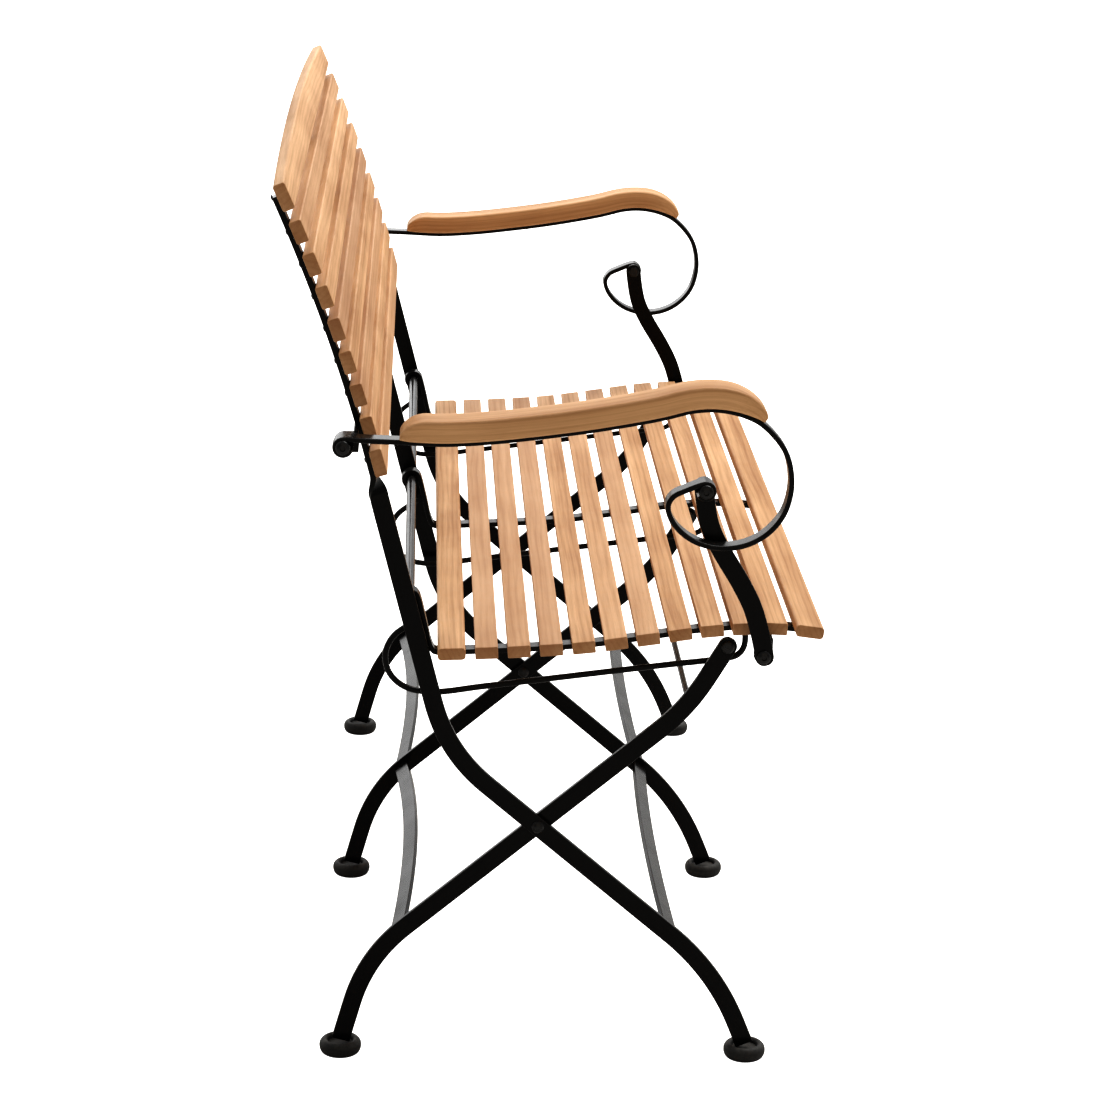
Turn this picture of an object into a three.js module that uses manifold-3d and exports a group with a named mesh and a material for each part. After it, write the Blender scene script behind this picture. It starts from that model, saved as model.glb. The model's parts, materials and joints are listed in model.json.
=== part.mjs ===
// Folding garden bench for two: teak slats on three scissor frames of black flat bar.
//
// Frame: X runs along the bench, -Y is the front, +Z is up, millimetres.
// The origin is on the floor under the middle of the whole bench's box.
// Every bar lies in a side plane, so its route is a list of [y, z] points.

import * as THREE from 'three';
import { mergeVertices } from 'three/addons/utils/BufferGeometryUtils.js';
import Module from 'manifold-3d';

const wasm = await Module();
wasm.setup();

// ---------------------------------------------------------------- driving dimensions

const gap = 0.3; // running clearance between touching pieces
const barWidth = 18; // flat bar of the legs, posts and arm supports
const barThick = 6;
const frameX = 492; // outer frames' distance from the middle of the bench
const slatLength = 1034;
const slatThick = 12;
const slatWidth = 21.8;
const wideSlat = 26.8; // first and last seat slat
const floorHeight = 4.5; // the floor, in the side planes' own heights
const legEnd = floorHeight + 14; // where the legs stop, inside their feet

// Pivots, as [y, z]
const seatPivot = [133.6, 472.7];
const crossing = [6.5, 247];
const pinPoint = [-172.8, 430.5];
const linkOffset = [62.4, 166.4]; // the arm linkage is a parallelogram
const supportFoot = [-202.9, 434.7];
const supportHead = [supportFoot[0] + linkOffset[0], supportFoot[1] + linkOffset[1]];
const armPivot = [seatPivot[0] + linkOffset[0], seatPivot[1] + linkOffset[1]];

// Bolts, tube and rods
const boltR = 4;
const tubeR = 5;
const rodR = 3;
const pinR = 6;

// The three frames: place along the bench, and the side on which the rear leg lies
const frames = [
  { name: 'left', x: -frameX, inward: 1 },
  { name: 'middle', x: 0, inward: -1 },
  { name: 'right', x: frameX, inward: -1 },
];

// ---------------------------------------------------------------- materials

const teak = new THREE.MeshStandardMaterial({ color: 0xc98f5b, roughness: 0.6, metalness: 0 });
const steel = new THREE.MeshStandardMaterial({ color: 0x17171a, roughness: 0.38, metalness: 0.6 });
const rubber = new THREE.MeshStandardMaterial({ color: 0x242424, roughness: 0.75, metalness: 0 });

// ---------------------------------------------------------------- small tools

// A point of a side plane as a 3D vector.
function point([y, z], x = 0) {
  return new THREE.Vector3(x, y, z);
}

// A smooth route through [y, z] points.
function smooth(points) {
  return new THREE.CatmullRomCurve3(points.map((p) => point(p)), false, 'centripetal');
}

// Straight runs joined by bends, as a bar is bent: each inner corner is [y, z, bend length].
function bentRoute(corners) {
  const route = new THREE.CurvePath();
  let from = point(corners[0]);
  for (let i = 1; i < corners.length - 1; i += 1) {
    const corner = point(corners[i]);
    const reach = corners[i][2];
    const before = point(corners[i - 1]).sub(corner).setLength(reach).add(corner);
    const after = point(corners[i + 1]).sub(corner).setLength(reach).add(corner);
    route.add(new THREE.LineCurve3(from, before));
    route.add(new THREE.QuadraticBezierCurve3(before, corner, after));
    from = after;
  }
  route.add(new THREE.LineCurve3(from, point(corners[corners.length - 1])));
  return route;
}

// Points of a rolled eye: an arc round a pivot, from one angle to another, in degrees.
function eyePoints([y, z], radius, startDeg, endDeg, count = 10) {
  return Array.from({ length: count + 1 }, (_, i) => {
    const angle = THREE.MathUtils.degToRad(startDeg + ((endDeg - startDeg) * i) / count);
    return [y + radius * Math.cos(angle), z + radius * Math.sin(angle)];
  });
}

// A bar of box section carried along a route. `across` is the section's size in the side plane,
// `along` its size along the bench, `turn` its twist in radians, each a function of u from 0 to 1.
// `perPoint` puts that many steps between the route's own points, so that tight bends get more.
function sweep(route, { across, along, turn = () => 0, x = 0, steps = 24, stations, perPoint = 0 }) {
  const pointSteps = perPoint ? (route.points.length - 1) * perPoint : steps;
  const box = new THREE.BoxGeometry(1, 1, 1, 1, 1, stations ? stations.length - 1 : pointSteps);
  box.deleteAttribute('normal');
  box.deleteAttribute('uv');
  const corners = box.getAttribute('position');
  const place = new THREE.Vector3();
  for (let i = 0; i < corners.count; i += 1) {
    const share = corners.getZ(i) + 0.5;
    const u = stations ? stations[Math.round(share * (stations.length - 1))] : share;
    const centre = perPoint ? route.getPoint(u) : route.getPointAt(u);
    const tangent = perPoint ? route.getTangent(u) : route.getTangentAt(u);
    const inPlane = corners.getX(i) * across(u);
    const sideways = corners.getY(i) * along(u);
    const angle = turn(u);
    const normalPart = inPlane * Math.cos(angle) - sideways * Math.sin(angle);
    place.set(
      x + inPlane * Math.sin(angle) + sideways * Math.cos(angle),
      centre.y - tangent.z * normalPart,
      centre.z + tangent.y * normalPart,
    );
    corners.setXYZ(i, place.x, place.y, place.z);
  }
  return mergeVertices(box, 1e-4);
}

// Stations that crowd towards rounded ends, and the width there: a half circle of the bar's width.
function roundedEnds(route, width, atStart, atEnd, middleSteps = 20) {
  const length = route.getLength();
  const reach = width / 2 / length;
  const rim = [0.03, 0.2, 0.5, 1].map((share) => share * reach);
  const stations = atStart ? rim.slice(0, 3) : [];
  const first = atStart ? reach : 0;
  const last = atEnd ? 1 - reach : 1;
  for (let i = 0; i <= middleSteps; i += 1) {
    stations.push(first + ((last - first) * i) / middleSteps);
  }
  if (atEnd) {
    stations.push(...rim.slice(0, 3).map((share) => 1 - share).reverse());
  }
  const across = (u) => {
    const fromEnd = Math.min(atStart ? u : 1, atEnd ? 1 - u : 1) * length;
    const short = Math.max(0, width / 2 - fromEnd);
    return 2 * Math.sqrt(Math.max(0.4, (width / 2) ** 2 - short ** 2));
  };
  return { stations, across };
}

// A turned piece on an axis along the bench: profile points are [radius, x], from axis to axis.
function turned(profile, [y, z], segments = 14) {
  const outline = profile.map(([r, x]) => new THREE.Vector2(r, x));
  const lathe = new THREE.LatheGeometry(outline, segments);
  lathe.rotateZ(-Math.PI / 2);
  lathe.translate(0, y, z);
  return lathe;
}

// A plain round bar along the bench between two x values.
function roundBar(radius, x0, x1, place, segments = 16) {
  return turned([[0, x0], [radius, x0], [radius, x1], [0, x1]], place, segments);
}

// Booleans on closed three.js meshes.
function toSolid(geometry) {
  const bare = geometry.clone();
  bare.deleteAttribute('normal');
  bare.deleteAttribute('uv');
  const welded = mergeVertices(bare, 1e-4);
  const mesh = new wasm.Mesh({
    numProp: 3,
    vertProperties: new Float32Array(welded.getAttribute('position').array),
    triVerts: new Uint32Array(welded.getIndex().array),
  });
  return new wasm.Manifold(mesh);
}

function toGeometry(solid) {
  const mesh = solid.getMesh();
  const geometry = new THREE.BufferGeometry();
  geometry.setAttribute('position', new THREE.BufferAttribute(mesh.vertProperties, 3));
  geometry.setIndex(new THREE.BufferAttribute(mesh.triVerts, 1));
  return geometry;
}

// Joins `extras` to a body, then cuts `cutters` out of it.
function shape(body, extras = [], cutters = []) {
  let solid = toSolid(body);
  for (const extra of extras) {
    solid = solid.add(toSolid(extra));
  }
  for (const cutter of cutters) {
    solid = solid.subtract(toSolid(cutter));
  }
  return toGeometry(solid);
}

// A hole for a bolt or tube through a bar that spans x0 to x1.
function hole(radius, x0, x1, place) {
  return roundBar(radius + gap, Math.min(x0, x1) - 1, Math.max(x0, x1) + 1, place);
}

// A box given by its lowest and highest corners.
function block(low, high) {
  const box = new THREE.BoxGeometry(high[0] - low[0], high[1] - low[1], high[2] - low[2]);
  box.translate((low[0] + high[0]) / 2, (low[1] + high[1]) / 2, (low[2] + high[2]) / 2);
  return box;
}

const bench = new THREE.Group();
// The side-plane points count from slightly ahead of the middle and below the floor.
bench.position.set(0, -2.11, -floorHeight);

function add(name, geometry, material) {
  const mesh = new THREE.Mesh(geometry, material);
  mesh.name = name;
  bench.add(mesh);
}

// ---------------------------------------------------------------- back line

// The posts and the slats' rear faces follow one arc, leaning further back as it rises.
const backStart = [166.2, 601.8]; // lower rear edge of the lowest back slat
const backLean = THREE.MathUtils.degToRad(14.7);
const backRadius = 1750;
const postTop = 277; // arc length up to the posts' top ends

// The point `s` up the arc, moved `rearward` along its normal, with the lean there.
function onBack(s, rearward = 0) {
  const lean = backLean + s / backRadius;
  const y = backStart[0] + backRadius * (Math.cos(backLean) - Math.cos(lean));
  const z = backStart[1] + backRadius * (Math.sin(lean) - Math.sin(backLean));
  return { y: y + rearward * Math.cos(lean), z: z - rearward * Math.sin(lean), lean };
}

const postOffset = barThick / 2 + gap;

function postPoint(s) {
  const { y, z } = onBack(s, postOffset);
  return [y, z];
}

// ---------------------------------------------------------------- front leg and back post

const frontFoot = [-203.7, legEnd];
const rearFoot = [197.3, legEnd];

const frontLegLine = [
  frontFoot,
  [-171.7, 96.4, 60],
  [96.2, 322.8, 52],
  postPoint(0),
];

// One bar: foot, knee, crossing, bend, then twisted a quarter turn to lie flat behind the slats.
function frontLegRoute() {
  const route = bentRoute(frontLegLine);
  const arcEnd = [70, 140, 210, postTop].map(postPoint);
  route.add(smooth([postPoint(0), ...arcEnd]));
  return route;
}

const legRoute = frontLegRoute();
const legLength = legRoute.getLength();
const twistLength = 30;
const twistEnd = 1 - (postTop + 0.5) / legLength;
const twistStart = twistEnd - twistLength / legLength;

function legTwist(u) {
  const share = THREE.MathUtils.clamp((u - twistStart) / (twistEnd - twistStart), 0, 1);
  return THREE.MathUtils.smoothstep(share, 0, 1) * (Math.PI / 2);
}

function frontLegStations() {
  const below = Array.from({ length: 27 }, (_, i) => (twistStart * i) / 26);
  const twist = Array.from({ length: 6 }, (_, i) => twistStart + ((twistEnd - twistStart) * (i + 1)) / 6);
  const post = Array.from({ length: 8 }, (_, i) => twistEnd + ((1 - twistEnd) * (i + 1)) / 8);
  return [...below, ...twist, ...post];
}

// The bracket behind an outer post that carries the arm's rear pivot.
const lugX = 522; // inner face of the pivot plates
const lugThick = 5;
const armLugThick = 11.2; // reaches out to the arm strip

function armLug(side) {
  const [y, z] = armPivot;
  const half = barWidth / 2;
  const postRear = onBack((z - backStart[1]) / Math.cos(backLean), barThick + gap).y;
  const reach = smooth([[postRear - 0.6, z], [y + half, z]]);
  const { stations, across } = roundedEnds(reach, barWidth, false, true, 2);
  const plate = sweep(reach, {
    across,
    stations,
    along: () => armLugThick,
    x: side * (lugX + armLugThick / 2),
  });
  const xs = [side * (frameX - 4), side * (lugX + lugThick)].sort((a, b) => a - b);
  const foot = block([xs[0], postRear - 0.6, z - half], [xs[1], postRear + 4.4, z + half]);
  return [plate, foot];
}

for (const { name, x } of frames) {
  const bar = sweep(legRoute, {
    across: () => barWidth,
    along: () => barThick,
    turn: legTwist,
    stations: frontLegStations(),
    x,
  });
  const side = Math.sign(x);
  const extras = side === 0 ? [] : armLug(side);
  const cutters = [hole(boltR, x - barThick, x + barThick, crossing)];
  if (side === 0) {
    cutters.push(hole(tubeR, x - barThick, x + barThick, seatPivot));
  } else {
    cutters.push(hole(boltR, side * lugX, side * (lugX + armLugThick), armPivot));
  }
  add(`front_leg_${name}`, shape(bar, extras, cutters), steel);
}

// ---------------------------------------------------------------- rear leg

const legInner = barThick / 2 + 0.5; // the rear leg lies beside the front leg
const legOuter = legInner + barThick;

const rearLegRoute = bentRoute([
  rearFoot,
  [172.7, 106.5, 50],
  [-136.0, 367.4, 35],
  [pinPoint[0] - 4.6, pinPoint[1] + 7.8],
]);

const upperRodPlace = [-137.4, 373.2];

for (const { name, x, inward } of frames) {
  const { stations, across } = roundedEnds(rearLegRoute, barWidth, false, true, 30);
  const bar = sweep(rearLegRoute, {
    across,
    stations,
    along: () => barThick,
    x: x + inward * (legInner + barThick / 2),
  });
  const xs = [x + inward * legInner, x + inward * legOuter];
  const cutters = [
    hole(boltR, ...xs, crossing),
    hole(boltR, ...xs, pinPoint),
    hole(rodR, ...xs, upperRodPlace),
  ];
  add(`rear_leg_${name}`, shape(bar, [], cutters), steel);
}

// ---------------------------------------------------------------- feet

// A round rubber foot with a rolled rim; the leg's end stands in its recess.
const footProfile = [
  [0, 0], [15.5, 0], [18.5, 1.4], [20.3, 4.5], [20.8, 7.8], [20.2, 11.2], [18.2, 13.9],
  [15.6, 15], [13.6, 14.1], [12.6, 12.2], [12.3, 10.2], [0, 10.2],
];

function foot([y], x) {
  const outline = footProfile.map(([r, z]) => new THREE.Vector2(r, z));
  const lathe = new THREE.LatheGeometry(outline, 20);
  lathe.rotateX(Math.PI / 2);
  lathe.translate(x, y, floorHeight);
  return lathe;
}

for (const { name, x, inward } of frames) {
  add(`front_foot_${name}`, foot([frontFoot[0] - 0.4], x), rubber);
  add(`rear_foot_${name}`, foot([rearFoot[0] + 0.3], x + inward * (legInner + barThick / 2)), rubber);
}

// ---------------------------------------------------------------- rivets, pins and rods

// Dome-headed rivet through both legs where they cross.
for (const { name, x, inward } of frames) {
  const outer = barThick / 2 + gap;
  const inner = legOuter + gap;
  const profile = [
    [0, -outer - 3], [4, -outer - 2.4], [6.5, -outer], [boltR, -outer],
    [boltR, inner], [6.5, inner], [4, inner + 2.2], [0, inner + 2.6],
  ];
  const rivet = turned(profile, crossing);
  if (inward < 0) {
    rivet.rotateZ(Math.PI);
    rivet.translate(0, 2 * crossing[0], 0);
  }
  rivet.translate(x, 0, 0);
  add(`crossing_rivet_${name}`, rivet, steel);
}

// Guide pin at the top of each rear leg: low head, shank, and a roller under the seat rail.
const rollerStart = legOuter + gap;
const rollerEnd = 18.3;

for (const { name, x, inward } of frames) {
  const head = legInner - gap;
  const profile = [
    [0, head - 2.5], [5.6, head - 2.2], [6.4, head - 1], [6.4, head], [boltR, head],
    [boltR, rollerStart], [pinR, rollerStart], [pinR, rollerEnd], [0, rollerEnd],
  ];
  const pin = turned(profile, pinPoint);
  if (inward < 0) {
    pin.rotateZ(Math.PI);
    pin.translate(0, 2 * pinPoint[0], 0);
  }
  pin.translate(x, 0, 0);
  add(`guide_pin_${name}`, pin, steel);
}

const tubeEnd = frameX - barThick / 2 - gap;
add('hinge_tube', roundBar(tubeR, -tubeEnd, tubeEnd, seatPivot, 24), steel);

const rodEnd = frameX - legInner - barThick + 1;
add('upper_cross_rod', roundBar(rodR, -rodEnd, rodEnd, upperRodPlace, 16), steel);

// ---------------------------------------------------------------- arched stretchers

const stretcherWidth = 17;
const stretcherThick = 5;

// A flat bar between two frames, its width along the leg, bowed towards the crossing.
function stretcher(x0, x1, [y, z], lean, bow) {
  const middle = (x0 + x1) / 2;
  const bar = new THREE.BoxGeometry(x1 - x0, stretcherWidth, stretcherThick, 16, 1, 1);
  bar.translate(middle, 0, 0);
  const corners = bar.getAttribute('position');
  for (let i = 0; i < corners.count; i += 1) {
    const share = (corners.getX(i) - middle) / ((x1 - x0) / 2);
    corners.setY(i, corners.getY(i) + bow * (1 - share ** 2));
  }
  bar.rotateX(lean);
  bar.translate(0, y, z);
  return bar;
}

const legLean = Math.atan2(322.8 - 96.4, 96.2 + 171.7); // slope of the crossing runs
const frontStretcher = { place: [-126.5, 135.5], lean: legLean, bow: 7.5 };
const rearStretcher = { place: [141.5, 134.5], lean: Math.PI - legLean, bow: 14.5 };
const frontSpans = [
  ['left', -frameX + barThick / 2 + gap, -barThick / 2 - gap],
  ['right', barThick / 2 + gap, frameX - barThick / 2 - gap],
];
const rearSpans = [
  ['left', -frameX + legOuter + gap, -legOuter - gap],
  ['right', -legInner + gap, frameX - legOuter - gap],
];

for (const [name, x0, x1] of frontSpans) {
  const { place, lean, bow } = frontStretcher;
  add(`front_stretcher_${name}`, stretcher(x0, x1, place, lean, bow), steel);
}
for (const [name, x0, x1] of rearSpans) {
  const { place, lean, bow } = rearStretcher;
  add(`rear_stretcher_${name}`, stretcher(x0, x1, place, lean, bow), steel);
}

// ---------------------------------------------------------------- back slats

const backSlatHeight = 21.5;
const lowestSpace = 10.9; // between the lowest slat and the next
const backPitch = 32.3;
const lowestHeight = 26;
const crestHeight = 26;
const crestArch = 10;
const backSlats = 9;

function slatBox(width, columns = 1) {
  return new THREE.BoxGeometry(slatLength, slatThick, width, columns, 1, 1);
}

for (let i = 0; i < backSlats; i += 1) {
  const crest = i === backSlats - 1;
  const bottom = i === 0 ? 0 : lowestHeight + lowestSpace + (i - 1) * backPitch;
  const height = i === 0 ? lowestHeight : crest ? crestHeight : backSlatHeight;
  const { y, z, lean } = onBack(bottom + height / 2, -slatThick / 2);
  const slat = slatBox(height, crest ? 20 : 1);
  if (crest) {
    const corners = slat.getAttribute('position');
    for (let k = 0; k < corners.count; k += 1) {
      const share = corners.getX(k) / (slatLength / 2);
      const rise = corners.getZ(k) > 0 ? crestArch * (1 - share ** 2) : 0;
      corners.setZ(k, corners.getZ(k) + rise);
    }
  }
  slat.rotateX(-lean);
  slat.translate(0, y, z);
  add(crest ? 'back_crest_rail' : `back_slat_${i + 1}`, slat, teak);
}

// ---------------------------------------------------------------- seat

// Top line of the seat, from the rolled front edge to the rear: a shallow dip before the pivot.
const seatLine = smooth([
  [-262, 459.4], [-234, 462.6], [-205, 464], [-153, 460.8], [-93, 451.9],
  [-32, 443.2], [29, 438.6], [68, 436.6], [106.5, 435],
]);
const seatLength = seatLine.getLength();
const seatSlats = 12;
const seatGap = (seatLength - 2 * wideSlat - (seatSlats - 2) * slatWidth) / (seatSlats - 1);

// A point `s` along the seat line, `depth` below its surface.
function underSeat(s, depth) {
  const u = THREE.MathUtils.clamp(s / seatLength, 0, 1);
  const centre = seatLine.getPointAt(u);
  const tangent = seatLine.getTangentAt(u);
  const beyond = s - u * seatLength;
  return [
    centre.y + tangent.y * beyond + tangent.z * depth,
    centre.z + tangent.z * beyond - tangent.y * depth,
  ];
}

let edge = 0;
for (let i = 0; i < seatSlats; i += 1) {
  const width = i === 0 || i === seatSlats - 1 ? wideSlat : slatWidth;
  const middle = edge + width / 2;
  const [y, z] = underSeat(middle, slatThick / 2);
  const tangent = seatLine.getTangentAt(middle / seatLength);
  const slat = slatBox(width);
  slat.rotateX(Math.PI / 2 + Math.atan2(tangent.z, tangent.y));
  slat.translate(0, y, z);
  add(`seat_slat_${String(i + 1).padStart(2, '0')}`, slat, teak);
  edge += width + seatGap;
}

// Rail: a flat strip under the slats, turned up behind and rolled round the hinge tube.
const stripThick = 5;
const stripWidth = 16;
const stripStart = legOuter + 0.5;
const stripDepth = slatThick + gap + stripThick / 2;
const eyeR = tubeR + 3 * gap + stripThick / 2;

function railRoute() {
  const under = [10, 40, 70, 120, 170, 220, 270, 320, seatLength - 10];
  return smooth([
    ...under.map((s) => underSeat(s, stripDepth + 0.25)),
    [109.5, 420.9],
    [113.8, 428],
    [119.6, 452],
    ...eyePoints(seatPivot, eyeR, 164, -122, 12),
  ]);
}

// Guide rod: leaves the strip below the eye, loops behind, runs forward and curls up to the strip.
const guideLine = [
  [121.5, 452], [134, 444], [149, 432], [156.2, 415], [152, 395], [136.5, 381], [110, 376.4],
  [60, 382.6], [-40, 396], [-120, 406.6], [-170, 413], [-183.5, 416.4], [-190.2, 425], [-191, 447],
];

function guideRod(x) {
  const route = smooth(guideLine);
  const section = new THREE.Shape().absarc(0, 0, rodR, 0, Math.PI * 2);
  const rod = new THREE.ExtrudeGeometry(section, { steps: 30, curveSegments: 4, extrudePath: route });
  rod.translate(x, 0, 0);
  return rod;
}

// The outer rails carry a plate beside the seat for the foot of the arm support.
function supportLug(side) {
  const [y, z] = supportFoot;
  const half = barWidth / 2;
  const top = 451;
  const reach = smooth([[y, top], [y, z - half]]);
  const { stations, across } = roundedEnds(reach, barWidth, false, true, 2);
  const plate = sweep(reach, {
    across,
    stations,
    along: () => lugThick,
    x: side * (lugX + lugThick / 2 - 0.4),
  });
  const xs = [side * (frameX - stripStart - 2), side * (lugX + lugThick - 0.4)].sort((a, b) => a - b);
  const arm = block([xs[0], y - half, top - 4.4], [xs[1], y + half, top]);
  return [plate, arm];
}

for (const { name, x, inward } of frames) {
  const strip = sweep(railRoute(), {
    across: () => stripThick,
    along: () => stripWidth,
    x: x + inward * (stripStart + stripWidth / 2),
    perPoint: 2,
  });
  const side = Math.sign(x);
  const extras = [guideRod(x + inward * (stripStart + stripWidth - rodR - 0.5))];
  const cutters = [];
  if (side !== 0) {
    extras.push(...supportLug(side));
    cutters.push(hole(boltR, side * lugX, side * (lugX + lugThick), supportFoot));
  }
  add(`seat_rail_${name}`, shape(strip, extras, cutters), steel);
}

// ---------------------------------------------------------------- arms and their supports

const armX = 543.6;
const armStripWidth = 20;
const armEyeR = boltR + 3 * gap + stripThick / 2;
const supportX = 530.2;

// The stretch of the strip under the armrest, from rear to front.
const underRest = [
  [144, 644.7], [102, 643.4], [62, 645.9], [22.6, 650.4], [-36.8, 658.9], [-96.2, 670.2],
  [-125.3, 677.6], [-143, 679.2], [-160.2, 677.6], [-178, 672.4], [-190.3, 665.8],
];

// Rolled eye at the rear pivot, the run under the armrest, the scroll, and an eye at the support.
const armLine = [
  ...eyePoints(armPivot, armEyeR, -170, 90, 9),
  [168, 645.4], ...underRest,
  [-206, 650.4], [-214.6, 636.6], [-219.4, 617.8], [-219.4, 599.5], [-213.6, 579.4],
  [-201.4, 563.2], [-186, 552.6], [-168.6, 547.4], [-149.4, 547.4], [-130, 553.8], [-115.5, 565],
  [-107.4, 577.6], [-105.8, 588], [-110.6, 596.2], [-121, 601.6],
  ...eyePoints(supportHead, armEyeR, 76, 330, 9),
];

// Armrest: its underside lies on the strip, and its top is planed down to meet it at both ends.
const restThick = 20.5;
const restWidth = 38;
const restRear = 26; // length of the rounded rear end
const restFront = 42;
const restSteps = 30;
const underRoute = smooth(underRest);
const restLength = underRoute.getLength();

// Distance from the rear end at step i; the steps crowd towards both ends.
function restDistance(i) {
  return (restLength * (1 - Math.cos((Math.PI * i) / restSteps))) / 2;
}

// A quarter ellipse over each end, cut off a little before the tip.
function restThickness(distance) {
  const rear = Math.max(0, 1 - distance / restRear);
  const front = Math.max(0, 1 - (restLength - distance) / restFront);
  return restThick * Math.sqrt(1 - (0.96 * Math.max(rear, front)) ** 2);
}

function restBreadth(distance) {
  const rear = Math.max(0, 1 - distance / 16);
  const front = Math.max(0, 1 - (restLength - distance) / 40);
  return restWidth * (1 - 0.3 * rear ** 2.4 - 0.36 * front ** 2.4);
}

const restRoute = smooth(Array.from({ length: restSteps + 1 }, (_, i) => {
  const distance = restDistance(i);
  const centre = underRoute.getPointAt(distance / restLength);
  const tangent = underRoute.getTangentAt(distance / restLength);
  const lift = stripThick / 2 + gap + restThickness(distance) / 2;
  return [centre.y + tangent.z * lift, centre.z - tangent.y * lift];
}));

const supportRoute = smooth([
  [supportHead[0] + 1.2, supportHead[1] + 9], [supportHead[0] - 0.9, supportHead[1] - 10],
  [-147.2, 563], [-157.6, 541], [-177.5, 508.5], [-189.7, 485], [-197.6, 461],
  [supportFoot[0] - 0.3, supportFoot[1] + 2], [supportFoot[0] - 1.8, supportFoot[1] - 9],
]);

// A dome-headed bolt with a nut, lying outwards from `inner` to `outer`.
function pivotBolt(side, inner, outer, place) {
  const profile = [
    [0, inner - 3.6], [6.6, inner - 3.6], [6.6, inner], [boltR, inner],
    [boltR, outer], [7, outer], [6, outer + 2], [3.4, outer + 3.2], [0, outer + 3.6],
  ];
  const bolt = turned(profile, place);
  if (side < 0) {
    bolt.rotateZ(Math.PI);
    bolt.translate(0, 2 * place[0], 0);
  }
  return bolt;
}

for (const { name, x } of frames.filter((frame) => frame.x !== 0)) {
  const side = Math.sign(x);
  const strip = sweep(smooth(armLine), {
    across: () => stripThick,
    along: () => armStripWidth,
    x: side * armX,
    perPoint: 2,
  });
  add(`arm_strip_${name}`, strip, steel);

  const rest = sweep(restRoute, {
    across: (u) => restThickness(restDistance(u * restSteps)),
    along: (u) => restBreadth(restDistance(u * restSteps)),
    x: side * armX,
    perPoint: 1,
  });
  add(`armrest_${name}`, rest, teak);

  const { stations, across } = roundedEnds(supportRoute, barWidth, true, true, 18);
  const bar = sweep(supportRoute, { across, stations, along: () => barThick, x: side * supportX });
  const span = [side * (supportX - barThick / 2), side * (supportX + barThick / 2)];
  const holes = [hole(boltR, ...span, supportHead), hole(boltR, ...span, supportFoot)];
  add(`arm_support_${name}`, shape(bar, [], holes), steel);

  const armOuter = armX + armStripWidth / 2 + gap;
  const supportOuter = supportX + barThick / 2 + gap;
  const supportInner = supportX - barThick / 2 - gap;
  add(`arm_pivot_bolt_${name}`, pivotBolt(side, lugX - gap, armOuter, armPivot), steel);
  add(`support_head_bolt_${name}`, pivotBolt(side, supportInner, armOuter, supportHead), steel);
  add(`support_foot_bolt_${name}`, pivotBolt(side, lugX - 0.4 - gap, supportOuter, supportFoot), steel);
}

export default bench;
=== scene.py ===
# %% [markdown]
# # A folding garden bench of teak and black flat bar
#
# This file dresses a finished mechanical model. The model already holds every bar, slat and
# pivot at its real place, in metres, with X along the bench, -Y to the front and +Z up.
# What follows gives each piece the surface it has on the real bench: eased edges on the teak,
# rounded arrises on the powder coated bar, rolled rubber feet, dome-headed bolts and screws.

import bpy
import json
import math
import numpy as np
from mathutils import Matrix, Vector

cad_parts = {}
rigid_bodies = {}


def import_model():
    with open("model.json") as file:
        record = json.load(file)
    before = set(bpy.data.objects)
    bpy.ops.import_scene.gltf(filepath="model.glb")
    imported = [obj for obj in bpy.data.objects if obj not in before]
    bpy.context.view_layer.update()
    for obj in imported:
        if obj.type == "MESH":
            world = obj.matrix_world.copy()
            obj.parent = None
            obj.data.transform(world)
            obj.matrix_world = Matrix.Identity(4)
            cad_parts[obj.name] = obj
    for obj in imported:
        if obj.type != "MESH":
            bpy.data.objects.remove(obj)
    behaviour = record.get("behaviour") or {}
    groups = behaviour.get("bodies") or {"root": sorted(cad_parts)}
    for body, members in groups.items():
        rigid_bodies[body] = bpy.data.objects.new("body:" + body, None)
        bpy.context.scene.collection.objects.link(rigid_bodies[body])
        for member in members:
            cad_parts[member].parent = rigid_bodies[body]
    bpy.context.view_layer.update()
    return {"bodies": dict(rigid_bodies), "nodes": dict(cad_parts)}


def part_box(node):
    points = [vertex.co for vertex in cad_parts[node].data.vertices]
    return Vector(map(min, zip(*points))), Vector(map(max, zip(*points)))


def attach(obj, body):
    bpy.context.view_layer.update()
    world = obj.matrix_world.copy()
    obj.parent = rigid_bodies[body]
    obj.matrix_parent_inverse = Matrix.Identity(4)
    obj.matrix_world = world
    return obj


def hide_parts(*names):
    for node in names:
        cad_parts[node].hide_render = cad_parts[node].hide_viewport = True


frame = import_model()
bodies = frame["bodies"]
print("bodies:", ", ".join(bodies))

# %% [markdown]
# ## Camera
#
# The view is nearly end-on: the camera stands far off the bench's left end, a little above the
# seat, and looks along it. A long lens keeps the far frame nearly as large as the near one.
# The camera's place is given in the same metres as the bench, and its three turns in degrees:
# yaw away from +X, pitch down, and a slight roll.

# %% Camera
scene = bpy.context.scene
CAMERA_PLACE = (-3.4017, 0.1240, 1.3468)
CAMERA_YAW = math.radians(-2.47)
CAMERA_PITCH = math.radians(15.81)
CAMERA_ROLL = math.radians(1.30)
CAMERA_LENS = 104.3


def camera_turn(yaw, pitch, roll):
    """The camera's axes as a 3 by 3 matrix: right, up and backwards are its columns."""
    forward = np.array([
        math.cos(yaw) * math.cos(pitch), math.sin(yaw) * math.cos(pitch), -math.sin(pitch),
    ])
    right = np.array([math.sin(yaw), -math.cos(yaw), 0.0])
    up = np.cross(right, forward)
    rolled_right = math.cos(roll) * right + math.sin(roll) * up
    rolled_up = math.cos(roll) * up - math.sin(roll) * right
    return np.stack([rolled_right, rolled_up, -forward], axis=1)


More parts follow.
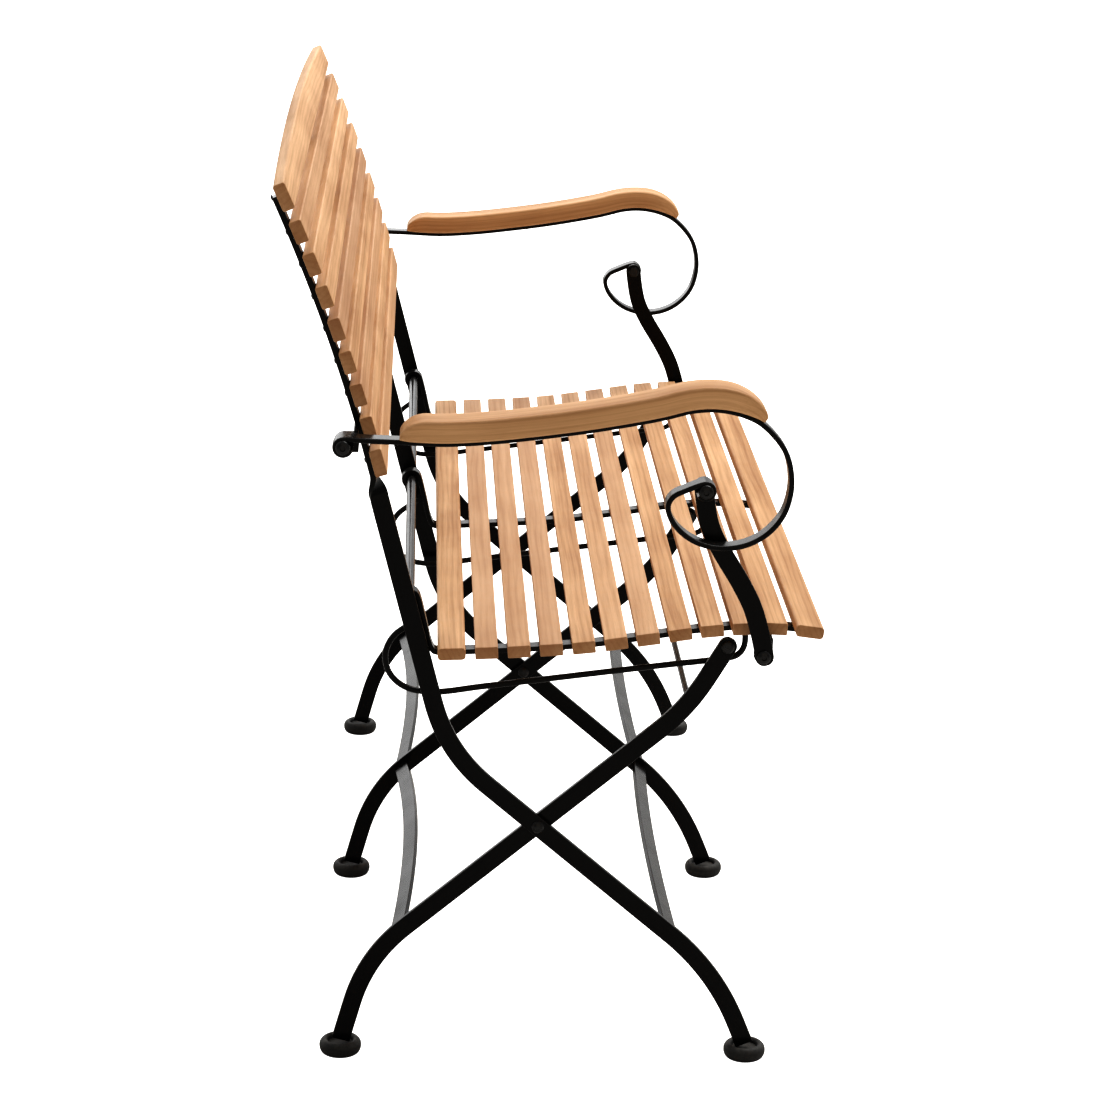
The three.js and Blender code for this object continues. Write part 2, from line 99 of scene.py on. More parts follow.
camera_data = bpy.data.cameras.new("camera")
camera_data.lens = CAMERA_LENS
camera_data.sensor_width = 36.0
camera_data.clip_end = 60.0
camera = bpy.data.objects.new("camera", camera_data)
camera_axes = Matrix(camera_turn(CAMERA_YAW, CAMERA_PITCH, CAMERA_ROLL).tolist()).to_4x4()
camera.matrix_world = Matrix.Translation(CAMERA_PLACE) @ camera_axes
scene.collection.objects.link(camera)
scene.camera = camera
print("camera lens:", camera_data.lens, "mm")

# %% [markdown]
# ## Studio
#
# A pale floor that runs up into a pale surround, and three large soft lights. The key hangs
# high, in front of the seat and beyond its middle, so the tops of the slats are bright and
# their near ends are darker, which shows their thickness. A warm, much weaker fill near the
# camera opens those ends a little, and a white one beyond the far end draws a line of gloss
# along the black bars.
#
# Floor and surround glow white only for rays that come straight from the camera. The bench
# itself gets the dimmer light that they throw back, so its undersides and bars stay dark.

# %% Studio


def soft_light(name, place, target, size, power, tint=(1.0, 1.0, 1.0)):
    """A square area light at `place`, facing `target`."""
    data = bpy.data.lights.new(name, "AREA")
    data.shape = "SQUARE"
    data.size = size
    data.energy = power
    data.color = tint
    light = bpy.data.objects.new(name, data)
    direction = np.array(target) - np.array(place)
    z_axis = -direction / np.linalg.norm(direction)
    x_axis = np.cross([0.0, 0.0, 1.0], z_axis)
    x_axis /= np.linalg.norm(x_axis)
    y_axis = np.cross(z_axis, x_axis)
    turn = Matrix(np.stack([x_axis, y_axis, z_axis], axis=1).tolist()).to_4x4()
    light.matrix_world = Matrix.Translation(place) @ turn
    scene.collection.objects.link(light)
    return light


BENCH_MIDDLE = (0.0, 0.0, 0.45)
DAYLIGHT = (1.0, 0.995, 0.98)
LAMPLIGHT = (1.0, 0.84, 0.66)
soft_light("key", (1.1, -1.6, 3.8), BENCH_MIDDLE, size=2.4, power=83.0, tint=DAYLIGHT)
soft_light("fill", (-3.3, -0.5, 1.5), BENCH_MIDDLE, size=3.0, power=10.0, tint=LAMPLIGHT)
soft_light("far_side", (3.4, 0.8, 1.5), BENCH_MIDDLE, size=2.5, power=16.0)

# What the bench gets from the surround is bright beyond the far end and dim behind the
# camera, as in a studio cove. The camera itself sees plain white.
world = bpy.data.worlds.new("studio")
world.use_nodes = True
sky = world.node_tree
sky.nodes["Background"].inputs["Color"].default_value = (1.0, 1.0, 1.0, 1.0)
sky_direction = sky.nodes.new("ShaderNodeTexCoord")
sky_split = sky.nodes.new("ShaderNodeSeparateXYZ")
sky_ramp = sky.nodes.new("ShaderNodeMapRange")
for socket, value in (("From Min", -0.7), ("From Max", 0.8), ("To Min", 0.15), ("To Max", 0.80)):
    sky_ramp.inputs[socket].default_value = value
sky.links.new(sky_direction.outputs["Generated"], sky_split.inputs["Vector"])
sky.links.new(sky_split.outputs["X"], sky_ramp.inputs["Value"])
sky_ray = sky.nodes.new("ShaderNodeLightPath")
sky_pick = sky.nodes.new("ShaderNodeMath")
sky_pick.operation = "MAXIMUM"
sky.links.new(sky_ramp.outputs["Result"], sky_pick.inputs[0])
sky.links.new(sky_ray.outputs["Is Camera Ray"], sky_pick.inputs[1])
sky.links.new(sky_pick.outputs["Value"], sky.nodes["Background"].inputs["Strength"])
scene.world = world
scene.view_settings.view_transform = "Standard"
scene.view_settings.look = "High Contrast"

FLOOR_REACH = 14.0
floor_mesh = bpy.data.meshes.new("floor")
floor_corners = np.array([[-1, -1, 0], [1, -1, 0], [1, 1, 0], [-1, 1, 0]]) * FLOOR_REACH
floor_mesh.from_pydata(floor_corners.tolist(), [], [[0, 1, 2, 3]])
floor = bpy.data.objects.new("floor", floor_mesh)
scene.collection.objects.link(floor)
floor_paint = bpy.data.materials.new("floor_paint")
floor_paint.use_nodes = True
floor_shader = floor_paint.node_tree.nodes["Principled BSDF"]
floor_shader.inputs["Base Color"].default_value = (0.72, 0.70, 0.67, 1.0)
floor_shader.inputs["Roughness"].default_value = 0.9
floor_shader.inputs["Specular IOR Level"].default_value = 0.1
floor_light = floor_paint.node_tree.nodes.new("ShaderNodeLightPath")
floor_paint.node_tree.links.new(floor_light.outputs["Is Camera Ray"],
                                floor_shader.inputs["Emission Color"])
floor_shader.inputs["Emission Strength"].default_value = 0.95
floor.data.materials.append(floor_paint)
print("lights and floor made")

# %% [markdown]
# ## Shader groups
#
# Three effects are used by more than one material, so each is a node group, built once:
# *grain* makes the figure of wood from a board coordinate, *soft wear* turns an edge mask into
# a rubbed edge, and *dust* finds the faces that look up and speckles them. Each puts out only
# colours, masks and heights; the shader itself stays in the material.

# %% Group helpers


def new_group(name, inputs, outputs):
    """A shader node group with named sockets, and its input and output nodes."""
    group = bpy.data.node_groups.new(name, "ShaderNodeTree")
    for title, kind, value in inputs:
        socket = group.interface.new_socket(title, in_out="INPUT", socket_type=kind)
        if value is not None:
            socket.default_value = value
    for title, kind in outputs:
        group.interface.new_socket(title, in_out="OUTPUT", socket_type=kind)
    entry = group.nodes.new("NodeGroupInput")
    leave = group.nodes.new("NodeGroupOutput")
    return group, entry, leave


def add_node(tree, kind, values=None, **settings):
    """One shader node with its settings and the values of its unlinked inputs."""
    node = tree.nodes.new(kind)
    for name, value in settings.items():
        setattr(node, name, value)
    for name, value in (values or {}).items():
        node.inputs[name].default_value = value
    return node


def noise(tree, vector, scale, detail=3.0, rough=0.55, distort=0.0):
    """A noise texture on a vector; returns the node."""
    node = add_node(tree, "ShaderNodeTexNoise", {
        "Scale": scale, "Detail": detail, "Roughness": rough, "Distortion": distort,
    })
    tree.links.new(vector, node.inputs["Vector"])
    return node


def ramp(tree, value, low, high, to_low=0.0, to_high=1.0):
    """Maps a value from low..high to to_low..to_high, held at the ends."""
    node = add_node(tree, "ShaderNodeMapRange", {
        "From Min": low, "From Max": high, "To Min": to_low, "To Max": to_high,
    })
    tree.links.new(value, node.inputs["Value"])
    return node.outputs["Result"]


def math_node(tree, operation, first, second):
    """Arithmetic on two sockets or numbers."""
    node = add_node(tree, "ShaderNodeMath", operation=operation)
    for socket, value in zip(node.inputs, (first, second)):
        if isinstance(value, (int, float)):
            socket.default_value = value
        else:
            tree.links.new(value, socket)
    return node.outputs["Value"]


def mix_colour(tree, factor, first, second, blend="MIX"):
    """Mixes two colours, each a socket or an RGBA tuple, by a factor socket or number."""
    node = add_node(tree, "ShaderNodeMix", data_type="RGBA", blend_type=blend)
    for name, value in (("Factor", factor), ("A", first), ("B", second)):
        options = [s for s in node.inputs if s.name == name and s.enabled]
        if isinstance(value, (int, float, tuple)):
            options[0].default_value = value
        else:
            tree.links.new(value, options[0])
    return [s for s in node.outputs if s.enabled][0]


# %% Grain group


def build_grain():
    """Teak figure from a board coordinate whose X runs along the board, in metres.

    Streaks: three noises, fine to slow, squeezed to about 1/50 along the board. Growth lines:
    a sine of the distance from a heart axis that lies beside the board, bent by slow noise,
    of which only the late wood shows. Patches: a slow drift between light and dark along the
    board. Pores: short dark dashes.
    """
    group, entry, leave = new_group(
        "teak_grain",
        [("Board", "NodeSocketVector", None), ("Light", "NodeSocketColor", (0.7, 0.42, 0.22, 1)),
         ("Dark", "NodeSocketColor", (0.42, 0.21, 0.09, 1)), ("Contrast", "NodeSocketFloat", 1.0)],
        [("Color", "NodeSocketColor"), ("Height", "NodeSocketFloat"), ("Rough", "NodeSocketFloat")],
    )
    squeeze = add_node(group, "ShaderNodeMapping", {"Scale": (0.019, 1.0, 1.0)})
    group.links.new(entry.outputs["Board"], squeeze.inputs["Vector"])
    fine = noise(group, squeeze.outputs["Vector"], 900.0, 4.0, 0.6)
    medium = noise(group, squeeze.outputs["Vector"], 210.0, 3.0, 0.55, 0.3)
    slow = noise(group, squeeze.outputs["Vector"], 46.0, 2.0, 0.5, 0.6)

    bend = add_node(group, "ShaderNodeMapping", {"Scale": (0.11, 1.0, 1.0)})
    group.links.new(entry.outputs["Board"], bend.inputs["Vector"])
    rings = add_node(group, "ShaderNodeTexWave", {
        "Scale": 58.0, "Distortion": 11.0, "Detail": 2.0, "Detail Scale": 0.4,
        "Detail Roughness": 0.5,
    }, wave_type="RINGS", rings_direction="X", wave_profile="SIN")
    group.links.new(bend.outputs["Vector"], rings.inputs["Vector"])
    late_wood = ramp(group, rings.outputs["Fac"], 0.45, 1.0)

    drift = add_node(group, "ShaderNodeMapping", {"Scale": (0.35, 1.0, 1.0)})
    group.links.new(entry.outputs["Board"], drift.inputs["Vector"])
    patch = noise(group, drift.outputs["Vector"], 17.0, 2.0, 0.5)

    dash = add_node(group, "ShaderNodeMapping", {"Scale": (0.035, 1.0, 1.0)})
    group.links.new(entry.outputs["Board"], dash.inputs["Vector"])
    pores = noise(group, dash.outputs["Vector"], 1500.0, 1.0, 0.4)
    pore_mask = ramp(group, pores.outputs["Fac"], 0.62, 0.74)

    ring_part = math_node(group, "MULTIPLY", late_wood, 0.17)
    slow_part = math_node(group, "MULTIPLY", ramp(group, slow.outputs["Fac"], 0.33, 0.67), 0.46)
    medium_part = math_node(group, "MULTIPLY", ramp(group, medium.outputs["Fac"], 0.3, 0.7), 0.22)
    fine_part = math_node(group, "MULTIPLY", ramp(group, fine.outputs["Fac"], 0.3, 0.7), 0.24)
    figure = math_node(group, "ADD", ring_part, slow_part)
    figure = math_node(group, "ADD", figure, medium_part)
    figure = math_node(group, "ADD", figure, fine_part)
    figure = math_node(group, "SUBTRACT", figure, 0.50)
    figure = math_node(group, "MULTIPLY", figure, entry.outputs["Contrast"])
    figure = math_node(group, "ADD", figure, 0.42)
    patch_part = ramp(group, patch.outputs["Fac"], 0.3, 0.7, -0.18, 0.24)
    figure = math_node(group, "ADD", figure, patch_part)
    clamped = ramp(group, figure, 0.0, 1.0)
    body = mix_colour(group, clamped, entry.outputs["Light"], entry.outputs["Dark"])
    pored = mix_colour(group, math_node(group, "MULTIPLY", pore_mask, 0.22), body,
                       entry.outputs["Dark"])
    group.links.new(pored, leave.inputs["Color"])
    height = math_node(group, "SUBTRACT", fine_part, math_node(group, "MULTIPLY", pore_mask, 0.3))
    group.links.new(height, leave.inputs["Height"])
    rough = math_node(group, "ADD", math_node(group, "MULTIPLY", clamped, 0.12), 0.5)
    group.links.new(rough, leave.inputs["Rough"])
    return group


grain_group = build_grain()
print("grain group sockets:", [s.name for s in grain_group.interface.items_tree])

# %% Wear and dust groups


def build_wear():
    """Edge wear: the piece's edge mask, broken up by noise so that it comes and goes."""
    group, entry, leave = new_group(
        "soft_wear",
        [("Place", "NodeSocketVector", None), ("Edge", "NodeSocketFloat", 0.0),
         ("Base", "NodeSocketColor", (0.5, 0.5, 0.5, 1)),
         ("Worn", "NodeSocketColor", (0.7, 0.7, 0.7, 1)), ("Amount", "NodeSocketFloat", 0.5)],
        [("Color", "NodeSocketColor"), ("Mask", "NodeSocketFloat")],
    )
    patches = noise(group, entry.outputs["Place"], 38.0, 4.0, 0.65)
    broken = ramp(group, patches.outputs["Fac"], 0.38, 0.68, 0.15, 1.0)
    mask = math_node(group, "MULTIPLY", entry.outputs["Edge"], broken)
    mask = math_node(group, "MULTIPLY", mask, entry.outputs["Amount"])
    colour = mix_colour(group, mask, entry.outputs["Base"], entry.outputs["Worn"])
    group.links.new(colour, leave.inputs["Color"])
    group.links.new(mask, leave.inputs["Mask"])
    return group


def build_dust():
    """Dust: the upward part of the surface normal, times a patchy noise."""
    group, entry, leave = new_group(
        "fine_dust",
        [("Place", "NodeSocketVector", None), ("Base", "NodeSocketColor", (0.5, 0.5, 0.5, 1)),
         ("Amount", "NodeSocketFloat", 0.1)],
        [("Color", "NodeSocketColor"), ("Mask", "NodeSocketFloat")],
    )
    geometry = add_node(group, "ShaderNodeNewGeometry")
    split = add_node(group, "ShaderNodeSeparateXYZ")
    group.links.new(geometry.outputs["Normal"], split.inputs["Vector"])
    upward = ramp(group, split.outputs["Z"], 0.2, 1.0)
    patches = noise(group, entry.outputs["Place"], 70.0, 5.0, 0.7)
    patchy = ramp(group, patches.outputs["Fac"], 0.35, 0.75)
    mask = math_node(group, "MULTIPLY", math_node(group, "MULTIPLY", upward, patchy),
                     entry.outputs["Amount"])
    colour = mix_colour(group, mask, entry.outputs["Base"], (0.55, 0.52, 0.47, 1.0))
    group.links.new(colour, leave.inputs["Color"])
    group.links.new(mask, leave.inputs["Mask"])
    return group


wear_group = build_wear()
dust_group = build_dust()

# %% [markdown]
# ## Materials
#
# Teak reads the piece's own board coordinate, an attribute that is worked out with each
# piece's surface, so the grain follows every slat and differs from its neighbour's. Steel,
# fixings and rubber read the object coordinate. All read the edge mask of their piece.

# %% Materials


def start_material(name):
    """A material with its Principled shader, its node tree and an edge mask socket."""
    material = bpy.data.materials.new(name)
    material.use_nodes = True
    tree = material.node_tree
    shader = tree.nodes["Principled BSDF"]
    edge = add_node(tree, "ShaderNodeAttribute", attribute_name="edge", attribute_type="GEOMETRY")
    place = add_node(tree, "ShaderNodeTexCoord")
    return material, tree, shader, edge.outputs["Fac"], place.outputs["Object"]


def place_group(tree, group, links=None, values=None):
    """One use of a shader group, with its inputs linked or set."""
    node = add_node(tree, "ShaderNodeGroup")
    node.node_tree = group
    for name, socket in (links or {}).items():
        tree.links.new(socket, node.inputs[name])
    for name, value in (values or {}).items():
        node.inputs[name].default_value = value
    return node


def bump(tree, shader, height, strength, distance):
    """Feeds a height into the shader's normal."""
    node = add_node(tree, "ShaderNodeBump", {"Strength": strength, "Distance": distance})
    tree.links.new(height, node.inputs["Height"])
    tree.links.new(node.outputs["Normal"], shader.inputs["Normal"])


def make_teak():
    """Oiled teak: grain, a tone of its own for each board, and slightly paler eased edges."""
    material, tree, shader, edge, place = start_material("teak")
    board = add_node(tree, "ShaderNodeAttribute", attribute_name="board", attribute_type="GEOMETRY")
    tone = add_node(tree, "ShaderNodeAttribute", attribute_name="tone", attribute_type="GEOMETRY")
    grain = place_group(tree, grain_group, {"Board": board.outputs["Vector"]}, {
        "Light": (0.83, 0.52, 0.275, 1), "Dark": (0.41, 0.198, 0.080, 1), "Contrast": 0.95,
    })
    toned = mix_colour(tree, tone.outputs["Fac"], grain.outputs["Color"], (0.44, 0.235, 0.125, 1))
    end = add_node(tree, "ShaderNodeAttribute", attribute_name="end", attribute_type="GEOMETRY")
    end_share = math_node(tree, "MULTIPLY", end.outputs["Fac"], 0.5)
    toned = mix_colour(tree, end_share, toned, (0.30, 0.125, 0.05, 1))
    worn = place_group(tree, wear_group, {"Place": place, "Edge": edge, "Base": toned}, {
        "Worn": (0.86, 0.58, 0.36, 1), "Amount": 0.30,
    })
    dusty = place_group(tree, dust_group, {"Place": place, "Base": worn.outputs["Color"]}, {
        "Amount": 0.05,
    })
    tree.links.new(dusty.outputs["Color"], shader.inputs["Base Color"])
    tree.links.new(grain.outputs["Rough"], shader.inputs["Roughness"])
    shader.inputs["Specular IOR Level"].default_value = 0.22
    bump(tree, shader, grain.outputs["Height"], 0.35, 0.0006)
    return material


def make_steel(name, base, roughness, grit, gloss):
    """Powder coated steel: a fine orange-peel skin, a trace of dust and rubbed arrises. `grit`
    is the strength of the skin and `gloss` the shader's specular level."""
    material, tree, shader, edge, place = start_material(name)
    peel = noise(tree, place, 900.0, 2.0, 0.5)
    cloud = noise(tree, place, 22.0, 4.0, 0.6)
    worn = place_group(tree, wear_group, {"Place": place, "Edge": edge}, {
        "Base": base, "Worn": (0.05, 0.05, 0.05, 1), "Amount": 0.6,
    })
    dusty = place_group(tree, dust_group, {"Place": place, "Base": worn.outputs["Color"]}, {
        "Amount": 0.05,
    })
    tree.links.new(dusty.outputs["Color"], shader.inputs["Base Color"])
    spread = ramp(tree, cloud.outputs["Fac"], 0.3, 0.7, roughness - 0.04, roughness + 0.07)
    tree.links.new(spread, shader.inputs["Roughness"])
    shader.inputs["Specular IOR Level"].default_value = gloss
    bump(tree, shader, peel.outputs["Fac"], grit, 0.0003)
    return material


def make_rubber():
    """Moulded rubber: matt, faintly pitted, with a paler bloom on its upward faces."""
    material, tree, shader, edge, place = start_material("rubber")
    pits = noise(tree, place, 600.0, 3.0, 0.6)
    worn = place_group(tree, wear_group, {"Place": place, "Edge": edge}, {
        "Base": (0.015, 0.0148, 0.014, 1), "Worn": (0.05, 0.05, 0.047, 1), "Amount": 0.5,
    })
    dusty = place_group(tree, dust_group, {"Place": place, "Base": worn.outputs["Color"]}, {
        "Amount": 0.16,
    })
    tree.links.new(dusty.outputs["Color"], shader.inputs["Base Color"])
    tree.links.new(ramp(tree, pits.outputs["Fac"], 0.3, 0.7, 0.55, 0.72),
                   shader.inputs["Roughness"])
    bump(tree, shader, pits.outputs["Fac"], 0.25, 0.0004)
    return material


teak = make_teak()
steel = make_steel("powder_coat", (0.0048, 0.0047, 0.0047, 1), 0.20, 0.05, 0.17)
fixing = make_steel("fixing_black", (0.012, 0.012, 0.012, 1), 0.22, 0.05, 0.4)
rubber = make_rubber()
print("materials:", [m.name for m in bpy.data.materials])

# %% [markdown]
# ## Lines in the side plane
#
# Every bar of the bench is bent in a plane that stands across its length, so its path is a
# line of (y, z) points. Two kinds are enough: straight runs joined by bends, as a bar is bent
# on a former, and a smooth line through points, for the scrolls. Sizes here are millimetres,
# as on a maker's drawing, and become metres when a surface is made.

# %% Lines
MM = 0.001


def node_centre(name):
    """The middle of a node's box, in millimetres."""
    low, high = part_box(name)
    return (np.array(low) + np.array(high)) / 2 / MM


CROSSING = (6.5, 247.0)
DRAWING_SHIFT = np.array([0.0, *(node_centre("crossing_rivet_middle")[1:] - CROSSING)])
print("drawing shift:", DRAWING_SHIFT.round(3).tolist(), "mm")


def smooth_line(points, per=14):
    """Centripetal Catmull-Rom: a cubic between neighbours, timed by the root of their distance."""
    points = np.asarray(points, float)
    ghost_start = 2 * points[:1] - points[1:2]
    ghost_end = 2 * points[-1:] - points[-2:-1]
    all_points = np.concatenate([ghost_start, points, ghost_end])
    times = np.sqrt(np.linalg.norm(np.diff(all_points, axis=0), axis=1))[:, None]
    before, during, after = times[:-2], times[1:-1], times[2:]
    p0, p1, p2, p3 = all_points[:-3], all_points[1:-2], all_points[2:-1], all_points[3:]
    leave = ((p1 - p0) / before - (p2 - p0) / (before + during) + (p2 - p1) / during) * during
    reach = ((p2 - p1) / during - (p3 - p1) / (during + after) + (p3 - p2) / after) * during
    t = np.linspace(0.0, 1.0, per, endpoint=False)[None, :, None]
    start, end, leave, reach = p1[:, None], p2[:, None], leave[:, None], reach[:, None]
    cubic = (
        (2 * t**3 - 3 * t**2 + 1) * start + (t**3 - 2 * t**2 + t) * leave
        + (3 * t**2 - 2 * t**3) * end + (t**3 - t**2) * reach
    )
    return np.concatenate([cubic.reshape(-1, points.shape[1]), points[-1:]])


def bent_line(corners):
    """Straight runs between corners (y, z, reach); each corner is a quadratic curve that
    starts and ends `reach` away from it along its two runs."""
    places = np.array([corner[:2] for corner in corners], float)
    reaches = [corner[2] if len(corner) > 2 else 0.0 for corner in corners]
    parts = [places[:1]]
    t = np.linspace(0.0, 1.0, 28)[:, None]
    for before, corner, after, reach in zip(places, places[1:], places[2:], reaches[1:]):
        enter = corner + (before - corner) / np.linalg.norm(before - corner) * reach
        leave = corner + (after - corner) / np.linalg.norm(after - corner) * reach
        parts.append((1 - t) ** 2 * enter + 2 * t * (1 - t) * corner + t**2 * leave)
    parts.append(places[-1:])
    return np.concatenate(parts)


def eye_line(place, radius, start_degrees, end_degrees, count=10):
    """An arc round a pivot: place + radius * (cos angle, sin angle)."""
    angle = np.radians(np.linspace(start_degrees, end_degrees, count + 1))
    return np.asarray(place) + radius * np.stack([np.cos(angle), np.sin(angle)], axis=1)


def line_length(line):
    """Sum of the distances between neighbours."""
    return float(np.linalg.norm(np.diff(line, axis=0), axis=1).sum())


def along(line, distances):
    """Points and unit tangents at distances along a line, by linear interpolation; beyond its
    ends the line goes straight on."""
    steps = np.linalg.norm(np.diff(line, axis=0), axis=1)
    keep = np.concatenate([[True], steps > 1e-6])
    line = line[keep]
    run = np.concatenate([[0.0], np.cumsum(np.linalg.norm(np.diff(line, axis=0), axis=1))])
    tangent = np.gradient(line, run, axis=0)
    tangent /= np.linalg.norm(tangent, axis=1, keepdims=True)
    held = np.clip(distances, 0.0, run[-1])
    places = np.stack([np.interp(held, run, line[:, k]) for k in range(line.shape[1])], axis=1)
    turns = np.stack([np.interp(held, run, tangent[:, k]) for k in range(line.shape[1])], axis=1)
    turns /= np.linalg.norm(turns, axis=1, keepdims=True)
    return places + turns * (distances - held)[:, None], turns


# %% [markdown]
# ## Surfaces
#
# A *shape* is a dictionary of arrays: points, outward normals, an edge mask, board
# coordinates, an end mask and faces. A bar is a rounded rectangle carried along a path, with
# its ends drawn in a little, and a turned piece is a profile spun round an axis. The normals
# are worked out with the points, so flats stay flat and arrises stay soft with few faces.

# %% Ring surfaces


def rings_to_shape(points, normals, edge, board, end):
    """Faces for a stack of closed rings: quads between neighbours and one cap at each end."""
    ring_count, round_count = points.shape[:2]
    index = np.arange(ring_count * round_count).reshape(ring_count, round_count)
    here, there = index[:-1], index[1:]
    quads = np.stack([here, np.roll(here, -1, 1), np.roll(there, -1, 1), there], axis=-1)
    unit = normals / np.maximum(np.linalg.norm(normals, axis=-1, keepdims=True), 1e-9)
    return {
        "points": points.reshape(-1, 3), "normals": unit.reshape(-1, 3),
        "edge": np.broadcast_to(edge, points.shape[:2]).reshape(-1),
        "end": np.broadcast_to(end, points.shape[:2]).reshape(-1),
        "board": board.reshape(-1, 3), "quads": quads.reshape(-1, 4),
        "caps": [index[0, ::-1].tolist(), index[-1].tolist()],
    }


def join_shapes(shapes):
    """Several closed shapes as one, their face numbers moved on by the points before them."""
    starts = np.cumsum([0] + [len(shape["points"]) for shape in shapes[:-1]])
    joined = {
        key: np.concatenate([shape[key] for shape in shapes])
        for key in ("points", "normals", "edge", "end", "board")
    }
    joined["quads"] = np.concatenate([s["quads"] + k for s, k in zip(shapes, starts)])
    joined["caps"] = [
        [int(k) + n for n in cap] for s, k in zip(shapes, starts) for cap in s["caps"]
    ]
    return joined


def carry(centre, wide, thick, half_wide, half_thick, corner, end_round=0.6, rise=0.0, arc=3):
    """A rounded rectangle carried along a path, sizes in millimetres.

    Each ring is centre + wide * a + thick * b, where (a, b) runs round a rectangle whose
    corners are quarter circles. The two end rings draw in by end_round * (1 - sin t) while
    they stand end_round * (1 - cos t) from the tip, t being 0 and 45 degrees. Where the width
    changes, or the centre rises, the normal leans back by that slope.
    """
    count = len(centre)
    half_wide = np.broadcast_to(np.asarray(half_wide, float), count).copy()
    half_thick = np.broadcast_to(np.asarray(half_thick, float), count).copy()
    rise = np.broadcast_to(np.asarray(rise, float), count).copy()
    tangent = np.cross(wide, thick)
    run = np.concatenate([[0.0], np.cumsum(np.linalg.norm(np.diff(centre, axis=0), axis=1))])
    wide_slope, thick_slope = np.gradient(half_wide, run), np.gradient(half_thick, run)

    t = np.radians([0.0, 45.0])
    inward, inset = end_round * (1 - np.cos(t)), end_round * (1 - np.sin(t))
    order = np.concatenate([[0, 0], np.arange(count), [count - 1, count - 1]])
    shift = np.concatenate([inward, [end_round], np.zeros(count - 2), [-end_round],
                            -inward[::-1]])
    draw = np.concatenate([inset, np.zeros(count), inset[::-1]])
    lean = np.concatenate([-np.cos(t), np.zeros(count), np.cos(t)[::-1]])
    ends = np.concatenate([[1.0, 0.5], np.zeros(count), [0.5, 1.0]])

    turn = np.linspace(0.0, math.pi / 2, arc + 1)
    angle = np.concatenate([turn + k * math.pi / 2 for k in range(4)])
    sign_wide = np.repeat([1, -1, -1, 1], arc + 1)
    sign_thick = np.repeat([1, 1, -1, -1], arc + 1)
    radius = np.minimum(corner, 0.98 * np.minimum(half_wide, half_thick))[order] - draw
    radius = np.maximum(radius, 0.08)[:, None]
    a = sign_wide * (half_wide[order, None] - draw[:, None] - radius) + radius * np.cos(angle)
    b = sign_thick * (half_thick[order, None] - draw[:, None] - radius) + radius * np.sin(angle)
    middle = centre[order] + tangent[order] * shift[:, None]
    wide, thick, tangent = wide[order], thick[order], tangent[order]
    points = middle[:, None] + wide[:, None] * a[..., None] + thick[:, None] * b[..., None]
    slope = (
        (wide_slope[order, None] + sign_wide * rise[order, None]) * np.abs(np.cos(angle))
        + thick_slope[order, None] * np.abs(np.sin(angle))
    )
    flat = np.cos(angle)[:, None] * wide[:, None] + np.sin(angle)[:, None] * thick[:, None]
    normals = flat - tangent[:, None] * slope[..., None]
    stand = np.sqrt(1 - lean**2)[:, None, None]
    normals = normals * stand + tangent[:, None] * lean[:, None, None]
    board = np.stack([np.broadcast_to((run[order] + shift)[:, None], a.shape), a, b], axis=-1)
    edge = np.maximum(np.sin(2 * angle) ** 2 * np.ones_like(a), (lean**2 * 2 * (ends < 1))[:, None])
    return rings_to_shape(points * MM, normals, edge, board * MM, ends[:, None])


def spin(profile, origin, axis, segments=32, outline=None, soften=0.25):
    """A turned piece, sizes in millimetres: profile points (radius, distance along the axis)
    spun round the axis. Each inner profile corner is eased by two points `soften` away from
    it. `outline` scales the radius with the turning angle, as on a hexagon nut."""
    profile = np.asarray(profile, float)
    step = np.diff(profile, axis=0)
    size = np.linalg.norm(step, axis=1, keepdims=True)
    reach = np.minimum(soften, 0.35 * np.minimum(size[:-1], size[1:]))
    before = profile[1:-1] - step[:-1] / size[:-1] * reach
    after = profile[1:-1] + step[1:] / size[1:] * reach
    eased = np.stack([before, after], axis=1).reshape(-1, 2)
    profile = np.concatenate([profile[:1], eased, profile[-1:]])
    step = np.diff(profile, axis=0)
    size = np.linalg.norm(step, axis=1, keepdims=True)
    face = np.stack([step[:, 1], -step[:, 0]], axis=1) * size
    normal = np.concatenate([face[:1], face[:-1] + face[1:], face[-1:]])
    normal /= np.linalg.norm(normal, axis=1, keepdims=True)

    axis = np.asarray(axis, float)
    first = np.cross(axis, [0.0, 0.0, 1.0]) if abs(axis[2]) < 0.9 else np.array([1.0, 0.0, 0.0])
    first /= np.linalg.norm(first)
    second = np.cross(axis, first)
    angle = np.linspace(0.0, 2 * math.pi, segments, endpoint=False)
    factor = np.ones(segments) if outline is None else outline(angle)
    radial = np.cos(angle)[:, None] * first + np.sin(angle)[:, None] * second
    radius = np.maximum(profile[:, 0], 0.12)[:, None] * factor
    points = (
        np.asarray(origin) + radius[..., None] * radial + (profile[:, 1:2] * axis)[:, None, :]
    )
    normals = normal[:, :1, None] * radial + normal[:, 1:, None] * axis
    board = points * MM
    return rings_to_shape(points * MM, normals, np.zeros((len(profile), 1)), board, 0.0)


def hexagon(angle):
    """Distance to the side of a hexagon of corner radius 1, with its corners rounded off."""
    return np.minimum(math.cos(math.pi / 6) / np.cos(angle % (math.pi / 3) - math.pi / 6), 0.975)


# %% Making a piece
random = np.random.default_rng(7)
made = []


